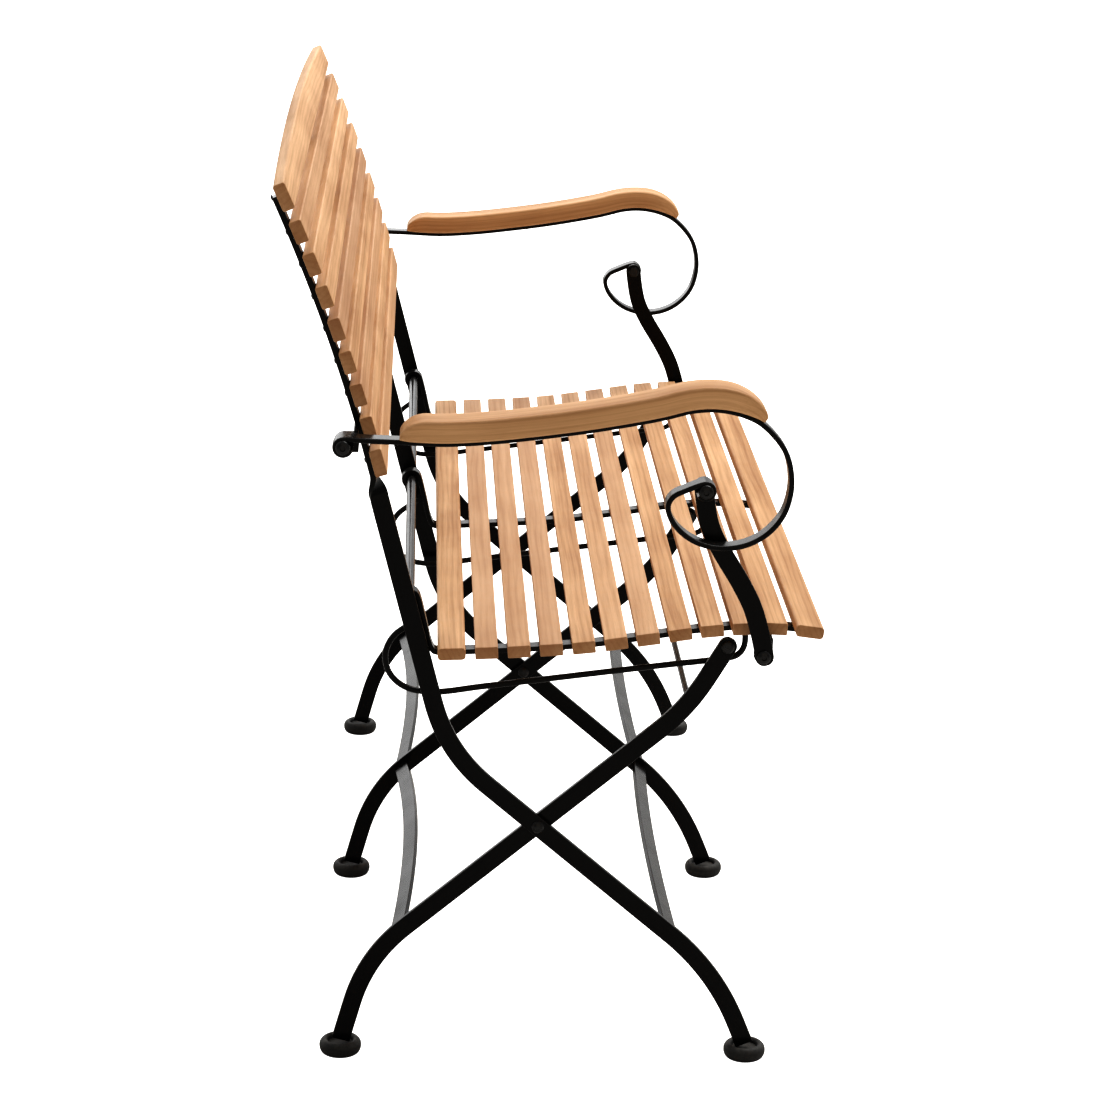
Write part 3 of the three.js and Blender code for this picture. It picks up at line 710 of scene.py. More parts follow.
def signed_volume(shape):
    """Sum of the tetrahedra from the origin to each triangle; positive when faces look out."""
    p, q = shape["points"], shape["quads"]
    triangles = [np.concatenate([q[:, [0, 1, 2]], q[:, [0, 2, 3]]])]
    for cap in shape["caps"]:
        cap = np.array(cap)
        triangles.append(np.stack([np.full(len(cap) - 2, cap[0]), cap[1:-1], cap[2:]], axis=1))
    a, b, c = (p[np.concatenate(triangles)[:, k]] for k in range(3))
    return float((a * np.cross(b, c)).sum() / 6)


def make_piece(name, shapes, body, material, nodes=(), tone=0.0, board_shift=(0, 0, 0)):
    """Puts the shapes into one mesh object that rides on a body and stands for CAD nodes."""
    shape = join_shapes(shapes if isinstance(shapes, list) else [shapes])
    points = shape["points"] + DRAWING_SHIFT * MM
    mesh = bpy.data.meshes.new(name)
    mesh.from_pydata(points.tolist(), [], shape["quads"].tolist() + shape["caps"])
    for title, values in (("edge", shape["edge"]), ("end", shape["end"])):
        mesh.attributes.new(title, "FLOAT", "POINT").data.foreach_set(
            "value", np.ascontiguousarray(values, np.float32))
    mesh.attributes.new("tone", "FLOAT", "POINT").data.foreach_set(
        "value", np.full(len(points), tone, np.float32))
    board = (shape["board"] + np.asarray(board_shift)).astype(np.float32)
    mesh.attributes.new("board", "FLOAT_VECTOR", "POINT").data.foreach_set(
        "vector", board.ravel())
    mesh.shade_smooth()
    mesh.normals_split_custom_set_from_vertices(shape["normals"].tolist())
    mesh.materials.append(material)
    piece = bpy.data.objects.new(name, mesh)
    scene.collection.objects.link(piece)
    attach(piece, body)
    if nodes:
        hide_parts(*nodes)
    volume = signed_volume(shape)
    made.append((name, len(shape["quads"]), volume))
    if volume <= 0:
        print("CHECK: faces of", name, "look inwards")
    return piece


def in_side_plane(line, distances, x, turn=0.0):
    """Centres and axes of a bar in the side plane at x: `wide` is the line's normal in the
    plane and `thick` is +X, both turned about the line by `turn`."""
    places, tangents = along(line, distances)
    count = len(places)
    centre = np.column_stack([np.full(count, float(x)), places])
    across = np.column_stack([np.zeros(count), -tangents[:, 1], tangents[:, 0]])
    sideways = np.tile([1.0, 0.0, 0.0], (count, 1))
    turn = np.broadcast_to(turn, count)[:, None]
    wide = np.cos(turn) * across + np.sin(turn) * sideways
    thick = np.cos(turn) * sideways - np.sin(turn) * across
    return centre, wide, thick


def round_end_stations(length, half, at_start, at_end, step=6.0):
    """Distances that crowd towards half-circle ends, and the half width there: at a distance d
    from such an end it is the root of half^2 - (half - d)^2."""
    rim = half * (1 - np.cos(np.radians(np.linspace(14, 90, 9))))
    first = rim[-1] if at_start else 0.0
    last = length - rim[-1] if at_end else length
    middle = np.linspace(first, last, max(3, int((last - first) / step)))
    parts = [rim[:-1]] if at_start else []
    parts.append(middle)
    if at_end:
        parts.append(length - rim[-2::-1])
    distances = np.concatenate(parts)
    from_end = np.minimum(distances if at_start else half, length - distances if at_end else half)
    short = np.maximum(0.0, half - np.broadcast_to(from_end, distances.shape))
    return distances, np.sqrt(half**2 - short**2)


# %% [markdown]
# ## Legs and back posts
#
# Each front leg and back post is one length of 18 by 6 mm bar: it is bent at the knee and
# above the crossing, then twisted a quarter turn so that it lies flat behind the slats. The
# rear leg is a second bar beside it. The arris of rolled bar is soft, about a millimetre.

# %% Bars of the scissor frames
BAR_HALF = 9.0
BAR_HALF_THICK = 3.0
BAR_CORNER = 1.0
GAP = 0.3
FRAME_X = 492.0
FRAMES = (("left", -FRAME_X, 1), ("middle", 0.0, -1), ("right", FRAME_X, -1))
FLOOR_HEIGHT = 4.5
LEG_END = FLOOR_HEIGHT + 14.0
LEG_LOWER_BEND = (-171.7, 96.4)
LEG_UPPER_BEND = (96.2, 322.8)
LEG_INNER = BAR_HALF_THICK + 0.5
LEG_OUTER = LEG_INNER + 2 * BAR_HALF_THICK

SEAT_PIVOT = (133.6, 472.7)
PIN_POINT = (-172.8, 430.5)
LINK = (62.4, 166.4)
SUPPORT_FOOT = (-202.9, 434.7)
SUPPORT_HEAD = (SUPPORT_FOOT[0] + LINK[0], SUPPORT_FOOT[1] + LINK[1])
ARM_PIVOT = (SEAT_PIVOT[0] + LINK[0], SEAT_PIVOT[1] + LINK[1])
ARM_LUG_X = 527.6
ARM_LUG_HALF = 5.6

BACK_START = (166.2, 601.8)
BACK_LEAN = math.radians(14.7)
BACK_RADIUS = 1750.0
POST_TOP = 277.0


def on_back(s, rearward=0.0):
    """The point s up the back's arc, moved rearward along its normal; the lean grows with s."""
    lean = BACK_LEAN + np.asarray(s, float) / BACK_RADIUS
    y = BACK_START[0] + BACK_RADIUS * (math.cos(BACK_LEAN) - np.cos(lean))
    z = BACK_START[1] + BACK_RADIUS * (np.sin(lean) - math.sin(BACK_LEAN))
    return np.stack([y + rearward * np.cos(lean), z - rearward * np.sin(lean)], axis=-1), lean


post_line = on_back(np.linspace(0.0, POST_TOP, 24), BAR_HALF_THICK + GAP)[0]
leg_line = np.concatenate([
    bent_line([(-203.7, LEG_END), (*LEG_LOWER_BEND, 60), (*LEG_UPPER_BEND, 52),
               tuple(post_line[0])]),
    post_line[1:],
])
leg_length = line_length(leg_line)
TWIST_LENGTH = 30.0
twist_end = leg_length - POST_TOP - 0.5
twist_start = twist_end - TWIST_LENGTH
leg_stations = np.unique(np.concatenate([
    np.linspace(0.0, leg_length, 170), np.linspace(twist_start, twist_end, 24),
]).round(3))
twist_share = np.clip((leg_stations - twist_start) / (twist_end - twist_start), 0.0, 1.0)
leg_twist = twist_share**2 * (3 - 2 * twist_share) * math.pi / 2
print("front leg and post:", round(leg_length), "mm of bar")


def arm_lug(side):
    """Bracket welded behind an outer post: a foot, and a thick plate with a round end."""
    y, z = ARM_PIVOT
    post_rear = on_back((z - BACK_START[1]) / math.cos(BACK_LEAN), 6.3)[0][0]
    plate_line = np.array([[post_rear - 0.6, z], [y + BAR_HALF, z]])
    distances, half = round_end_stations(line_length(plate_line), BAR_HALF, False, True)
    plate = carry(*in_side_plane(plate_line, distances, side * ARM_LUG_X),
                  half, ARM_LUG_HALF, 0.9)
    foot_y = post_rear + 1.9
    foot_path = np.array([[side * 488.0, foot_y, z], [side * 527.0, foot_y, z]])
    wide = np.tile([0.0, 0.0, 1.0], (2, 1))
    thick = np.cross(foot_path[1] - foot_path[0], wide)
    thick /= np.linalg.norm(thick, axis=1, keepdims=True)
    foot = carry(foot_path, wide, thick, BAR_HALF, 2.5, 0.7)
    return [plate, foot]


def weld_bead(centre, axis, radius, size):
    """A weld round a joint: a half-round ring of `size` about the axis."""
    angle = np.radians(np.linspace(-10, 190, 7))
    profile = [(radius - size * 0.7, -size * 0.9)]
    profile += [(radius + size * math.sin(a), -size * math.cos(a)) for a in angle]
    profile += [(radius - size * 0.7, size * 0.9)]
    return spin(profile, centre, axis, 24)


for name, x, inward in FRAMES:
    side = np.sign(x)
    shapes = [carry(*in_side_plane(leg_line, leg_stations, x, leg_twist),
                    BAR_HALF, BAR_HALF_THICK, BAR_CORNER)]
    shapes += arm_lug(side) if side else []
    make_piece(f"leg_and_post_{name}", shapes, "back_frame", steel,
               [f"front_leg_{name}"])

rear_leg_line = bent_line([(197.3, LEG_END), (172.7, 106.5, 50), (-136.0, 367.4, 35),
                           (PIN_POINT[0] - 4.6, PIN_POINT[1] + 7.8)])
rear_stations, rear_half = round_end_stations(line_length(rear_leg_line), BAR_HALF, False, True)
for name, x, inward in FRAMES:
    middle = x + inward * (LEG_INNER + BAR_HALF_THICK)
    shape = carry(*in_side_plane(rear_leg_line, rear_stations, middle),
                  rear_half, BAR_HALF_THICK, BAR_CORNER)
    make_piece(f"rear_bar_{name}", shape, "rear_leg_frame", steel, [f"rear_leg_{name}"])

# %% [markdown]
# ## Feet
#
# The feet are moulded rubber buttons with a rolled rim, pushed over the bar ends. Each is a
# turned profile: a flat base, a fat round side, a rolled lip and a recess for the bar.

# %% Rubber feet
FOOT_PROFILE = smooth_line([
    (15.5, 0), (18.3, 1.2), (20.1, 4.0), (20.8, 7.6), (20.3, 11.1), (18.4, 13.8),
    (15.8, 15.0), (13.6, 14.2), (12.6, 12.3), (12.3, 10.2),
], 3)
foot_profile = [(0, 0)] + [tuple(p) for p in FOOT_PROFILE] + [(0, 10.2)]


def rubber_foot(y, x):
    """One foot standing on the floor at (x, y)."""
    return spin(foot_profile, (x, y, FLOOR_HEIGHT), (0, 0, 1), 40, soften=0.4)


for name, x, inward in FRAMES:
    make_piece(f"foot_front_{name}", rubber_foot(-204.1, x), "back_frame", rubber,
               [f"front_foot_{name}"])
    rear_x = x + inward * (LEG_INNER + BAR_HALF_THICK)
    make_piece(f"foot_rear_{name}", rubber_foot(197.6, rear_x), "rear_leg_frame", rubber,
               [f"rear_foot_{name}"])

# %% [markdown]
# ## Rivets, pins, tube and rods
#
# The legs turn on a dome-headed rivet. The hinge tube joins the three frames behind the seat,
# and a thin rod joins the rear legs near their tops. The guide pins run in the rail slots.

# %% Turned steel
for name, x, inward in FRAMES:
    start, stop = -BAR_HALF_THICK - GAP, LEG_OUTER + GAP
    rivet = [(0, start - 3.0), (2.4, start - 2.8), (4.6, start - 2.0), (6.1, start - 0.7),
             (6.5, start), (4, start), (4, stop), (6.5, stop), (6.0, stop + 0.8),
             (4.4, stop + 1.9), (2.2, stop + 2.5), (0, stop + 2.6)]
    make_piece(f"rivet_{name}", spin(rivet, (x, *CROSSING), (inward, 0, 0), soften=0.2),
               "back_frame", fixing, [f"crossing_rivet_{name}"])
    head = LEG_INNER - GAP
    pin = [(0, head - 2.5), (3.4, head - 2.45), (5.4, head - 2.0), (6.4, head - 1.0),
           (6.4, head), (4, head), (4, LEG_OUTER + GAP), (6, LEG_OUTER + GAP), (6, 18.3),
           (2.4, 18.3), (2.0, 17.5), (0, 17.5)]
    make_piece(f"slot_pin_{name}", spin(pin, (x, *PIN_POINT), (inward, 0, 0), soften=0.2),
               "rear_leg_frame", fixing, [f"guide_pin_{name}"])

tube_end = FRAME_X - BAR_HALF_THICK - GAP
TUBE_RADIUS = 5.0
tube = [(0, -tube_end), (TUBE_RADIUS, -tube_end), (TUBE_RADIUS, tube_end), (0, tube_end)]
collars = [weld_bead((x, *SEAT_PIVOT), (1, 0, 0), TUBE_RADIUS + 0.2, 1.5)
           for x in (-tube_end + 1.5, -BAR_HALF_THICK - 1.2, BAR_HALF_THICK + 1.2, tube_end - 1.5)]
make_piece("tube_hinge", [spin(tube, (0, *SEAT_PIVOT), (1, 0, 0), 40)] + collars,
           "back_frame", steel, ["hinge_tube"])

UPPER_ROD = (-137.4, 373.2)
rod_end = FRAME_X - LEG_INNER - 2 * BAR_HALF_THICK + 1.0
rod = [(0, -rod_end), (3, -rod_end), (3, rod_end), (0, rod_end)]
make_piece("rod_between_rear_legs", spin(rod, (0, *UPPER_ROD), (1, 0, 0), 24),
           "rear_leg_frame", steel, ["upper_cross_rod"])

# %% [markdown]
# ## Arched stretchers
#
# Flat bars between the frames, one pair on the front legs and one on the rear. Each bows
# towards the crossing: its offset is bow * (1 - share^2), share running from -1 to 1.

# %% Stretchers
leg_lean = math.atan2(LEG_UPPER_BEND[1] - LEG_LOWER_BEND[1],
                      LEG_UPPER_BEND[0] - LEG_LOWER_BEND[0])


def stretcher(x_start, x_stop, place, lean, bow):
    """A 17 by 5 mm bar from frame to frame; its width stands at `lean` from the y axis."""
    x = np.linspace(x_start, x_stop, 41)
    share = (x - (x_start + x_stop) / 2) / ((x_stop - x_start) / 2)
    upward = np.array([0.0, math.cos(lean), math.sin(lean)])
    thick = np.array([0.0, -math.sin(lean), math.cos(lean)])
    offset = bow * (1 - share**2)
    centre = np.column_stack([x, np.full_like(x, place[0]), np.full_like(x, place[1])])
    centre = centre + offset[:, None] * upward
    tangent = np.gradient(centre, axis=0)
    tangent /= np.linalg.norm(tangent, axis=1, keepdims=True)
    thick_axes = np.tile(thick, (len(x), 1))
    wide = np.cross(thick_axes, tangent)
    return carry(centre, wide, thick_axes, 8.5, 2.5, corner=0.9, end_round=0.3)


INSET = BAR_HALF_THICK + GAP
FRONT_SPANS = (("left", -FRAME_X + INSET, -INSET), ("right", INSET, FRAME_X - INSET))
REAR_SPANS = (("left", -FRAME_X + LEG_OUTER + GAP, -LEG_OUTER - GAP),
              ("right", -LEG_INNER + GAP, FRAME_X - LEG_OUTER - GAP))
for name, start, stop in FRONT_SPANS:
    make_piece(f"arched_bar_front_{name}",
               stretcher(start, stop, (-126.5, 135.5), leg_lean, bow=7.5),
               "back_frame", steel, [f"front_stretcher_{name}"])
for name, start, stop in REAR_SPANS:
    make_piece(f"arched_bar_rear_{name}",
               stretcher(start, stop, (141.5, 134.5), math.pi - leg_lean, bow=14.5),
               "rear_leg_frame", steel, [f"rear_stretcher_{name}"])

# %% [markdown]
# ## Teak slats
#
# A slat is a straight board with its arrises eased by a couple of millimetres. Each one gets
# its own stretch of grain and its own tone, because they are sawn from different planks. The
# crest rail is one board whose top edge is planed to a shallow arch.

# %% Slats of the back
SLAT_HALF_LENGTH = 517.0
SLAT_HALF_THICK = 6.0
LOWEST = 26.0
LOWEST_GAP = 10.9
BACK_SLAT = 21.5
BACK_COUNT = 9
BACK_PITCH = 32.3
CREST = 26.0
CREST_ARCH = 10.0


def slat(place, upward, outward, half_wide, corner, arch=0.0):
    """A board along X: `upward` is its width and `outward` its show face. With an arch, the
    top edge rises by arch * (1 - share^2) while the bottom edge stays straight."""
    x = np.linspace(-SLAT_HALF_LENGTH, SLAT_HALF_LENGTH, 41 if arch else 9)
    share = x / SLAT_HALF_LENGTH
    lift = arch / 2 * (1 - share**2)
    centre = np.column_stack([x, np.full_like(x, place[0]), np.full_like(x, place[1])])
    up_axis = np.array([0.0, *upward])
    centre = centre + lift[:, None] * up_axis
    wide = np.tile(up_axis, (len(x), 1))
    thick = np.tile([0.0, *outward], (len(x), 1))
    if np.cross(up_axis, [0.0, *outward])[0] < 0:
        thick = -thick
    return carry(centre, wide, thick, half_wide + lift, SLAT_HALF_THICK, corner, 0.9,
                 rise=np.gradient(lift, x), arc=4)


def board_place(number):
    """Where in the tree a board was sawn: far along it, and some way from its heart."""
    spot = random.uniform([0.0, 0.035, -0.06], [9.0, 0.11, 0.06])
    return spot + np.array([number * 1.7, 0.0, 0.0])


back_bottoms = [0.0] + [LOWEST + LOWEST_GAP + k * BACK_PITCH for k in range(BACK_COUNT - 1)]
back_heights = [LOWEST] + [BACK_SLAT] * (BACK_COUNT - 2) + [CREST]
for number, (bottom, height) in enumerate(zip(back_bottoms, back_heights)):
    crest = number == BACK_COUNT - 1
    (y, z), lean = on_back(bottom + height / 2, -SLAT_HALF_THICK)
    upward, outward = (math.sin(lean), math.cos(lean)), (-math.cos(lean), math.sin(lean))
    shape = slat((y, z), upward, outward, height / 2, 2.4 if crest else 1.9,
                 CREST_ARCH if crest else 0.0)
    node = "back_crest_rail" if crest else f"back_slat_{number + 1}"
    title = "crest_board" if crest else f"back_board_{number + 1}"
    make_piece(title, shape, "back_frame", teak, [node],
               tone=random.uniform(0.0, 0.75) ** 2, board_shift=board_place(number))

# %% Slats of the seat
SEAT_WIDE = 26.8
SEAT_SLAT = 21.8
SEAT_COUNT = 12
seat_line = smooth_line([
    (-262, 459.4), (-234, 462.6), (-205, 464), (-153, 460.8), (-93, 451.9),
    (-32, 443.2), (29, 438.6), (68, 436.6), (106.5, 435),
], 40)
seat_length = line_length(seat_line)
seat_gap = (seat_length - 2 * SEAT_WIDE - (SEAT_COUNT - 2) * SEAT_SLAT) / (SEAT_COUNT - 1)


def under_seat(distances, depth):
    """Points `depth` below the seat's top line, and the tangents there."""
    places, tangents = along(seat_line, np.asarray(distances, float))
    return places + depth * np.column_stack([tangents[:, 1], -tangents[:, 0]]), tangents


seat_widths = np.array([SEAT_WIDE] + [SEAT_SLAT] * (SEAT_COUNT - 2) + [SEAT_WIDE])
seat_edges = np.concatenate([[0.0], np.cumsum(seat_widths + seat_gap)[:-1]])
seat_middles = seat_edges + seat_widths / 2
seat_places, seat_tangents = under_seat(seat_middles, SLAT_HALF_THICK)
for number in range(SEAT_COUNT):
    tangent = seat_tangents[number]
    half = seat_widths[number] / 2
    corner = 3.6 if number in (0, SEAT_COUNT - 1) else 1.1
    shape = slat(seat_places[number], tangent, (-tangent[1], tangent[0]), half, corner)
    make_piece(f"seat_board_{number + 1:02d}", shape, "seat", teak,
               [f"seat_slat_{number + 1:02d}"],
               tone=random.uniform(0.0, 0.75) ** 2, board_shift=board_place(number + 20))
print("boards:", len(back_bottoms) + SEAT_COUNT, "seat gap:", round(seat_gap, 2), "mm")

# %% [markdown]
# ## Seat rails
#
# A strip of flat bar runs under the slats, turns up behind them and is rolled round the hinge
# tube. A thin rod leaves it there, loops behind, and runs forward to make the long slot in
# which the guide pin slides. The outer rails carry a small plate for the arm support.

# %% Rails
STRIP_HALF = 8.0
STRIP_HALF_THICK = 2.5
STRIP_START = LEG_OUTER + 0.5
STRIP_DEPTH = 2 * SLAT_HALF_THICK + STRIP_HALF_THICK + 0.55
EYE_RADIUS = TUBE_RADIUS + 3.4
GUIDE_RADIUS = 3.0
SUPPORT_LUG_X = 524.1

rail_line = smooth_line(np.concatenate([
    under_seat([10, 40, 70, 120, 170, 220, 270, 320, seat_length - 10], STRIP_DEPTH)[0],
    [[109.5, 420.9], [113.8, 428], [119.6, 452]],
    eye_line(SEAT_PIVOT, EYE_RADIUS, 164, -122, 12),
]))
guide_line = smooth_line([
    (121.5, 452), (134, 444), (149, 432), (156.2, 415), (152, 395), (136.5, 381), (110, 376.4),
    (60, 382.6), (-40, 396), (-120, 406.6), (-170, 413), (-183.5, 416.4), (-190.2, 425),
    (-191, 447),
])


def round_rod(line, x, radius, step=4.0):
    """A round rod: a square section whose corner radius is nearly its half width."""
    distances = np.linspace(0.0, line_length(line), int(line_length(line) / step))
    return carry(*in_side_plane(line, distances, x), radius, radius, radius, 0.4, arc=4)


def support_lug(side):
    """Plate beside the seat for the foot of the arm support, and the arm that carries it."""
    y, z = SUPPORT_FOOT
    plate_line = np.array([[y, 451.0], [y, z - BAR_HALF]])
    distances, half = round_end_stations(line_length(plate_line), BAR_HALF, False, True)
    plate = carry(*in_side_plane(plate_line, distances, side * SUPPORT_LUG_X),
                  half, STRIP_HALF_THICK, 0.7)
    arm_path = np.array([[side * 480.0, y, 448.8], [side * 526.6, y, 448.8]])
    wide = np.tile([0.0, 1.0, 0.0], (2, 1))
    thick = np.cross(arm_path[1] - arm_path[0], wide)
    thick /= np.linalg.norm(thick, axis=1, keepdims=True)
    return [plate, carry(arm_path, wide, thick, BAR_HALF, 2.2, 0.7)]


rail_stations = np.linspace(0.0, line_length(rail_line), 150)
for name, x, inward in FRAMES:
    side = np.sign(x)
    strip_x = x + inward * (STRIP_START + STRIP_HALF)
    strip = carry(*in_side_plane(rail_line, rail_stations, strip_x),
                  STRIP_HALF_THICK, STRIP_HALF, 0.8)
    rod_x = x + inward * (STRIP_START + 2 * STRIP_HALF - GUIDE_RADIUS - 0.5)
    shapes = [strip, round_rod(guide_line, rod_x, GUIDE_RADIUS)]
    shapes += support_lug(side) if side else []
    make_piece(f"rail_{name}", shapes, "seat", steel, [f"seat_rail_{name}"])

# %% [markdown]
# ## Arms
#
# Each arm is a strip bent into an open scroll, pivoted behind the post and at the head of its
# support. The teak rest follows the strip: its underside lies on it and its top is planed down
# to meet it in a long curve at the front and a short one at the rear.

# %% Arm strips and rests
ARM_X = 543.6
ARM_STRIP_HALF = 10.0
ARM_STRIP_HALF_THICK = 2.5
ARM_EYE = 7.4
under_rest = [
    [144, 644.7], [102, 643.4], [62, 645.9], [22.6, 650.4], [-36.8, 658.9], [-96.2, 670.2],
    [-125.3, 677.6], [-143, 679.2], [-160.2, 677.6], [-178, 672.4], [-190.3, 665.8],
]
arm_line = smooth_line(np.concatenate([
    eye_line(ARM_PIVOT, ARM_EYE, -170, 90, 9),
    [[168, 645.4]],
    under_rest,
    [[-206, 650.4], [-214.6, 636.6], [-219.4, 617.8], [-219.4, 599.5],
     [-213.6, 579.4], [-201.4, 563.2], [-186, 552.6], [-168.6, 547.4], [-149.4, 547.4],
     [-130, 553.8], [-115.5, 565], [-107.4, 577.6], [-105.8, 588], [-110.6, 596.2],
     [-121, 601.6]],
    eye_line(SUPPORT_HEAD, ARM_EYE, 76, 330, 9),
]))
arm_length = line_length(arm_line)
arm_stations = np.linspace(0.0, arm_length, 300)

REST_THICK = 20.5
REST_HALF_WIDE = 19.0
REST_FRONT = 42.0
REST_REAR = 26.0
REST_FLATTENING = 0.96
REST_DRAW_POWER = 2.4
FRONT_DRAW_LENGTH, FRONT_DRAW = 40.0, 0.36
REAR_DRAW_LENGTH, REAR_DRAW = 16.0, 0.30


def nearest_run(line, place):
    """Distance along a line to its point nearest to `place`."""
    run = np.concatenate([[0.0], np.cumsum(np.linalg.norm(np.diff(line, axis=0), axis=1))])
    return float(run[np.argmin(np.linalg.norm(line - np.asarray(place), axis=1))])


rest_start = nearest_run(arm_line, under_rest[0])
rest_stop = nearest_run(arm_line, under_rest[-1])


def rest_shape(side):
    """The rest lies on the strip. Over each end its thickness is REST_THICK times the root of
    1 - (REST_FLATTENING * share)^2, nearly a quarter ellipse, and its sides draw in by
    REST_DRAW_POWER of the way to the tip."""
    length = rest_stop - rest_start
    crowd = 1 - np.cos(np.linspace(0, np.pi / 2, 22))
    rear = REST_REAR * crowd
    front = length - REST_FRONT * crowd
    d = np.concatenate([rear, np.linspace(REST_REAR, length - REST_FRONT, 44), front])
    d = np.unique(d.clip(0, length).round(3))
    rear_share = np.clip(1 - d / REST_REAR, 0, 1)
    front_share = np.clip(1 - (length - d) / REST_FRONT, 0, 1)
    share = np.maximum(rear_share, front_share)
    thick_here = REST_THICK * np.sqrt(1 - (REST_FLATTENING * share) ** 2)
    rear_draw = REAR_DRAW * np.clip(1 - d / REAR_DRAW_LENGTH, 0, 1) ** REST_DRAW_POWER
    front_draw = FRONT_DRAW * np.clip(1 - (length - d) / FRONT_DRAW_LENGTH, 0, 1) ** REST_DRAW_POWER
    half_across = REST_HALF_WIDE * (1 - rear_draw - front_draw)
    centre, wide, thick = in_side_plane(arm_line, rest_start + d, side * ARM_X)
    wide, thick = -wide, -thick
    lift = ARM_STRIP_HALF_THICK + GAP + thick_here / 2
    slope = np.gradient(thick_here / 2, d)
    return carry(centre + wide * lift[:, None], wide, thick, thick_here / 2, half_across,
                 2.6, 0.8, rise=slope, arc=5)


for name, side in (("left", -1), ("right", 1)):
    strip = carry(*in_side_plane(arm_line, arm_stations, side * ARM_X),
                  ARM_STRIP_HALF_THICK, ARM_STRIP_HALF, 2.1, 0.8)
    make_piece(f"scroll_{name}", strip, f"arm_{name}", steel, [f"arm_strip_{name}"])
    make_piece(f"rest_{name}", rest_shape(side), f"arm_{name}", teak,
               [f"armrest_{name}"], tone=0.12, board_shift=board_place(40 + side))
print("rest length:", round(rest_stop - rest_start), "mm")

# %% Arm supports and their bolts
SUPPORT_X = 530.2
support_line = smooth_line([
    (SUPPORT_HEAD[0] + 1.2, SUPPORT_HEAD[1] + 9), (SUPPORT_HEAD[0] - 0.9, SUPPORT_HEAD[1] - 10),
    (-147.2, 563), (-157.6, 541), (-177.5, 508.5), (-189.7, 485), (-197.6, 461),
    (SUPPORT_FOOT[0] - 0.3, SUPPORT_FOOT[1] + 2), (SUPPORT_FOOT[0] - 1.8, SUPPORT_FOOT[1] - 9),
])
support_stations, support_half = round_end_stations(
    line_length(support_line), BAR_HALF, True, True)


def pivot_bolt(side, inner, outer, place):
    """Hexagon nut inside, shank, washer and a dome head with a socket outside."""
    nut = spin([(0, inner - 3.6), (5.6, inner - 3.6), (6.9, inner - 3.0), (6.9, inner),
                (0, inner)], (0, *place), (side, 0, 0), 48, hexagon, 0.15)
    shank = spin([(0, inner - 0.5), (4, inner - 0.5), (4, outer + 0.5), (0, outer + 0.5)],
                 (0, *place), (side, 0, 0), 24)
    head = spin([(0, outer), (7, outer), (7, outer + 0.5), (6.5, outer + 1.6),
                 (5.2, outer + 2.7), (3.4, outer + 3.4), (2.6, outer + 3.6), (2.3, outer + 3.3),
                 (2.2, outer + 1.6), (0, outer + 1.4)], (0, *place), (side, 0, 0), 40,
                soften=0.2)
    return [nut, shank, head]


for name, side in (("left", -1), ("right", 1)):
    bar = carry(*in_side_plane(support_line, support_stations, side * SUPPORT_X),
                support_half, BAR_HALF_THICK, BAR_CORNER)
    make_piece(f"support_bar_{name}", bar, f"arm_support_{name}", steel,
               [f"arm_support_{name}"])
    lug_inner = ARM_LUG_X - ARM_LUG_HALF
    plate_inner = SUPPORT_LUG_X - STRIP_HALF_THICK
    arm_outer = ARM_X + ARM_STRIP_HALF + GAP
    bar_outer, bar_inner = SUPPORT_X + INSET, SUPPORT_X - INSET
    make_piece(f"bolt_arm_rear_{name}", pivot_bolt(side, lug_inner - GAP, arm_outer, ARM_PIVOT),
               "back_frame", fixing, [f"arm_pivot_bolt_{name}"])
    make_piece(f"bolt_scroll_{name}", pivot_bolt(side, bar_inner, arm_outer, SUPPORT_HEAD),
               f"arm_support_{name}", fixing, [f"support_head_bolt_{name}"])
    make_piece(f"bolt_support_foot_{name}",
               pivot_bolt(side, plate_inner - GAP, bar_outer, SUPPORT_FOOT),
               f"arm_support_{name}", fixing, [f"support_foot_bolt_{name}"])

# %% [markdown]
# ## Screws
#
# The slats are held from behind and from below by small round-headed screws, one through each
# post or rail strip. A head is a low dome with a crossed recess too small to need modelling
# at this size, so each is a dozen-sided dome.

# %% Slat screws


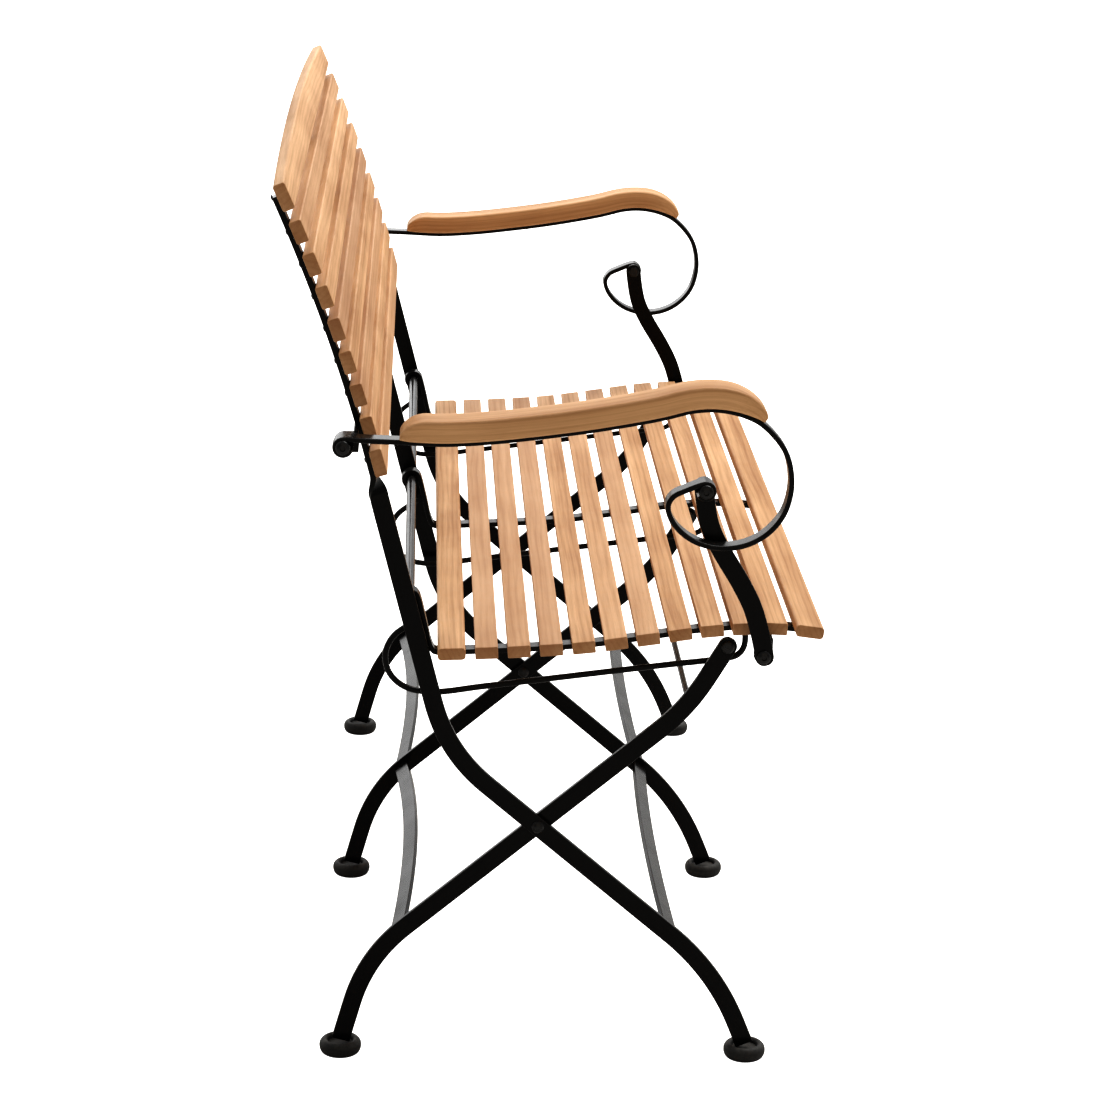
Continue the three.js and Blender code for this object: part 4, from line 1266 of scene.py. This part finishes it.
def screw_heads(places, axes, radius=3.2, height=1.7, segments=12):
    """Domes at many places at once. Ring k has radius * cos t and height * sin t."""
    t = np.radians([0.0, 30.0, 60.0, 84.0])
    axes = np.asarray(axes, float)
    first = np.tile([1.0, 0.0, 0.0], (len(axes), 1))
    second = np.cross(axes, first)
    angle = np.linspace(0, 2 * math.pi, segments, endpoint=False)
    radial = (np.cos(angle)[None, :, None] * first[:, None] + np.sin(angle)[None, :, None]
              * second[:, None])
    shapes = []
    for place, axis, spokes in zip(places, axes, radial):
        rise = height * np.sin(t)[:, None, None] * axis
        rings = np.asarray(place) + rise + radius * np.cos(t)[:, None, None] * spokes
        base = (rings[0] - 0.3 * axis)[None]
        rings = np.concatenate([base, rings])
        normals = np.cos(t)[:, None, None] * spokes + np.sin(t)[:, None, None] * axis
        normals = np.concatenate([normals[:1], normals])
        shapes.append(rings_to_shape(rings * MM, normals, 0.0, rings * MM, 0.0))
    return shapes


back_middles = np.array(back_bottoms) + np.array(back_heights) / 2
post_places, post_leans = on_back(back_middles, 2 * BAR_HALF_THICK + GAP)
post_axes = np.column_stack([np.zeros(BACK_COUNT), np.cos(post_leans), -np.sin(post_leans)])
strip_places, strip_tangents = under_seat(seat_middles, STRIP_DEPTH + STRIP_HALF_THICK)
strip_axes = np.column_stack(
    [np.zeros(SEAT_COUNT), strip_tangents[:, 1], -strip_tangents[:, 0]])
for name, x, inward in FRAMES:
    spots = np.column_stack([np.full(BACK_COUNT, x), post_places])
    make_piece(f"back_screws_{name}", screw_heads(spots, post_axes), "back_frame", fixing)
    strip_x = x + inward * (STRIP_START + STRIP_HALF - 1.5)
    spots = np.column_stack([np.full(SEAT_COUNT, strip_x), strip_places])
    make_piece(f"seat_screws_{name}", screw_heads(spots, strip_axes), "seat", fixing)

rest_runs = rest_start + np.array([40.0, 150.0, 260.0])
rest_places, rest_tangents = along(arm_line, rest_runs)
down = np.column_stack([-rest_tangents[:, 1], rest_tangents[:, 0]])
for name, side in (("left", -1), ("right", 1)):
    spots = np.column_stack([np.full(3, side * ARM_X), rest_places + ARM_STRIP_HALF_THICK * down])
    axes = np.column_stack([np.zeros(3), down])
    make_piece(f"rest_screws_{name}", screw_heads(spots, axes), f"arm_{name}", fixing)

# %% Finish
for title, object_node in frame["nodes"].items():
    if not object_node.hide_render:
        print("still the plain node:", title)
print("pieces:", len(made), "quads:", sum(row[1] for row in made))
print("all faces look outwards:", all(row[2] > 0 for row in made))
